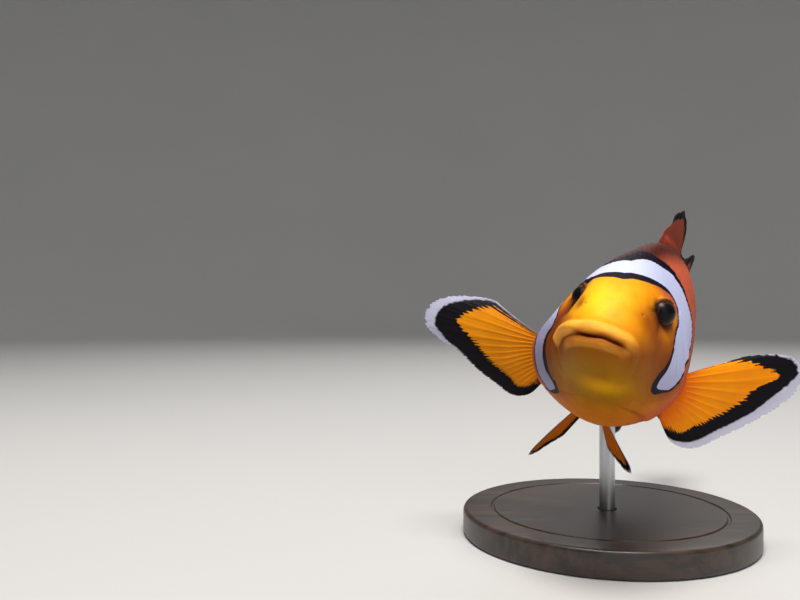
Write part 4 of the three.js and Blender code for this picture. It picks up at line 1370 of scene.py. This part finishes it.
def wood_material():
    m = Shader("stand_dark_wood")
    grain = m.noise(260, 6, stretch=(0.25, 2.4, 1.0), roughness=0.62)
    pore = m.noise(1500, 3, stretch=(0.12, 2.0, 1.0))
    colour = m.mix(m.step(grain, 0.35, 0.68), linear(30, 25, 23), linear(66, 50, 40))
    colour = m.mix(m.scaled(m.step(pore, 0.55, 0.75), 0.5), colour, linear(18, 14, 13))
    m.set(Base_Color=colour, Roughness=m.scaled(grain, 0.25, 0.3), Coat_Weight=0.25, Coat_Roughness=0.25)
    m.bump(m.math("ADD", grain, m.scaled(pore, 0.5)), 0.00006, 0.35)
    return m.material


def steel_material():
    m = Shader("stand_brushed_steel")
    brush = m.noise(900, 4, stretch=(1.0, 1.0, 0.03))
    colour = m.mix(m.step(brush, 0.3, 0.7), linear(168, 170, 174), linear(208, 209, 212))
    m.set(Base_Color=colour, Roughness=m.scaled(brush, 0.22, 0.2), Metallic=1.0)
    m.bump(brush, 0.00002, 0.3)
    return m.material


def turned_piece(name, profile, spokes):
    """A solid turned about the base's axis from (radius, height) points."""
    angle = np.linspace(0, 2 * np.pi, spokes, endpoint=False)[None, :]
    radius, height = np.array(profile, float).T[..., None]
    grid = np.stack([radius * np.cos(angle), radius * np.sin(angle), height + 0 * angle], -1)
    faces = sheet_faces(len(profile), spokes, wrap=True).tolist()
    piece = new_object(name, grid.reshape(-1, 3), faces)
    piece.data.set_sharp_from_angle(angle=TURNED_SHARP_ANGLE)
    return piece


def build_base():
    bevel = [
        (BASE_RADIUS - BASE_CHAMFER * (1 - np.cos(a)), BASE_HEIGHT - BASE_CHAMFER * (1 - np.sin(a)))
        for a in np.linspace(0, np.pi / 2, 7)
    ]
    foot = [(r, BASE_HEIGHT - h) for r, h in bevel[::-1]]
    steps = ((0.4, 0), (0.2, GROOVE_DEPTH), (-0.2, GROOVE_DEPTH), (-0.4, 0))
    groove = [(GROOVE_RADIUS + out, BASE_HEIGHT - deep) for out, deep in steps]
    socket_radius = ROD_RADIUS + SOCKET_GAP
    socket = [
        (socket_radius + SMALL_BEVEL, BASE_HEIGHT), (socket_radius, BASE_HEIGHT - SMALL_BEVEL),
        (socket_radius, SOCKET_FLOOR), (0, SOCKET_FLOOR),
    ]
    base = turned_piece("display_base", [(0, 0)] + foot + bevel + groove + socket, 160)
    carry(base, wood_material(), "base_wood", "stand_base")


def build_rod():
    low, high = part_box("stand_rod")
    bottom, top = low[2] / MM, high[2] / MM
    rod = turned_piece("display_rod", [
        (0, bottom), (ROD_RADIUS - SMALL_BEVEL, bottom), (ROD_RADIUS, bottom + SMALL_BEVEL),
        (ROD_RADIUS, top - SMALL_BEVEL), (ROD_RADIUS - SMALL_BEVEL, top), (0, top),
    ], 64)
    carry(rod, steel_material(), "rod_steel", "stand_rod")


build_base()
build_rod()

# ---------------- floor, light and camera
FLOOR_RADIUS = 900
BACKDROP_BEND = 500
BACKDROP_TOP = 900
PHOTO_WIDTH = 800
PHOTO_HEIGHT = 600
FOCAL_PIXELS = 830
SENSOR_WIDTH = 36
SNOUT_PIXEL = (603, 342.5)
SNOUT_DISTANCE = 122.8
NEAREST_SEEN = 0.005
# Each area light's place, size in metres, power in watts, colour and the point it faces.
LIGHTS = {
    "key": ((-40, -200, 680), 0.3, 6.6, (1.0, 0.97, 0.92), (0, -10, 35)),
    "fill": ((60, -520, 240), 0.5, 0.6, (0.95, 0.97, 1.0), (0, 0, 30)),
    "back": ((160, 420, 460), 0.5, 1.0, (1.0, 0.98, 0.95), (0, 10, 35)),
}
SKY_COLOUR = (0.92, 0.95, 1.0, 1)
SKY_STRENGTH = 0.17


def build_floor():
    """A pale floor that curves up into a backdrop all round."""
    bend = [
        (FLOOR_RADIUS + BACKDROP_BEND * np.sin(a), BACKDROP_BEND * (1 - np.cos(a)))
        for a in np.linspace(0.1, np.pi / 2, 12)
    ]
    profile = [(0, 0), (FLOOR_RADIUS / 3, 0), (FLOOR_RADIUS, 0), *bend]
    profile.append((FLOOR_RADIUS + BACKDROP_BEND, BACKDROP_TOP))
    floor = turned_piece("floor", profile[::-1], 96)
    m = Shader("pale_floor")
    m.set(Base_Color=m.mix(m.noise(6, 2), (0.5, 0.5, 0.5), (0.54, 0.535, 0.53)), Roughness=0.75)
    floor.data.materials.append(m.material)


def build_light(name, at, size, power, colour, aim):
    data = bpy.data.lights.new(name, "AREA")
    data.shape = "DISK"
    data.size = size
    data.energy = power
    data.color = colour
    lamp = bpy.data.objects.new(name, data)
    lamp.location = np.array(at) * MM
    way = mathutils.Vector(aim) - mathutils.Vector(at)
    lamp.rotation_mode = "QUATERNION"
    lamp.rotation_quaternion = way.to_track_quat("-Z", "Y")
    bpy.context.scene.collection.objects.link(lamp)


def build_sky():
    """Even light from all round, and colours shown as they are."""
    world = bpy.data.worlds.new("studio")
    world.use_nodes = True
    world.node_tree.nodes["Background"].inputs["Color"].default_value = SKY_COLOUR
    world.node_tree.nodes["Background"].inputs["Strength"].default_value = SKY_STRENGTH
    bpy.context.scene.world = world
    bpy.context.scene.view_settings.view_transform = "Standard"


def build_camera():
    """A level camera that puts the snout at its pixel of the photo's frame."""
    across = (SNOUT_PIXEL[0] - PHOTO_WIDTH / 2) / FOCAL_PIXELS * SNOUT_DISTANCE
    down = (SNOUT_PIXEL[1] - PHOTO_HEIGHT / 2) / FOCAL_PIXELS * SNOUT_DISTANCE
    data = bpy.data.cameras.new("camera")
    data.sensor_width = SENSOR_WIDTH
    data.lens = FOCAL_PIXELS / PHOTO_WIDTH * SENSOR_WIDTH
    data.clip_start = NEAREST_SEEN
    camera = bpy.data.objects.new("camera", data)
    camera.location = (place([0, 0, 0]) + np.array([-across, -SNOUT_DISTANCE, down])) * MM
    camera.rotation_euler = (np.pi / 2, 0, 0)
    bpy.context.scene.collection.objects.link(camera)
    bpy.context.scene.camera = camera


build_floor()
for light, settings in LIGHTS.items():
    build_light(light, *settings)
build_sky()
build_camera()
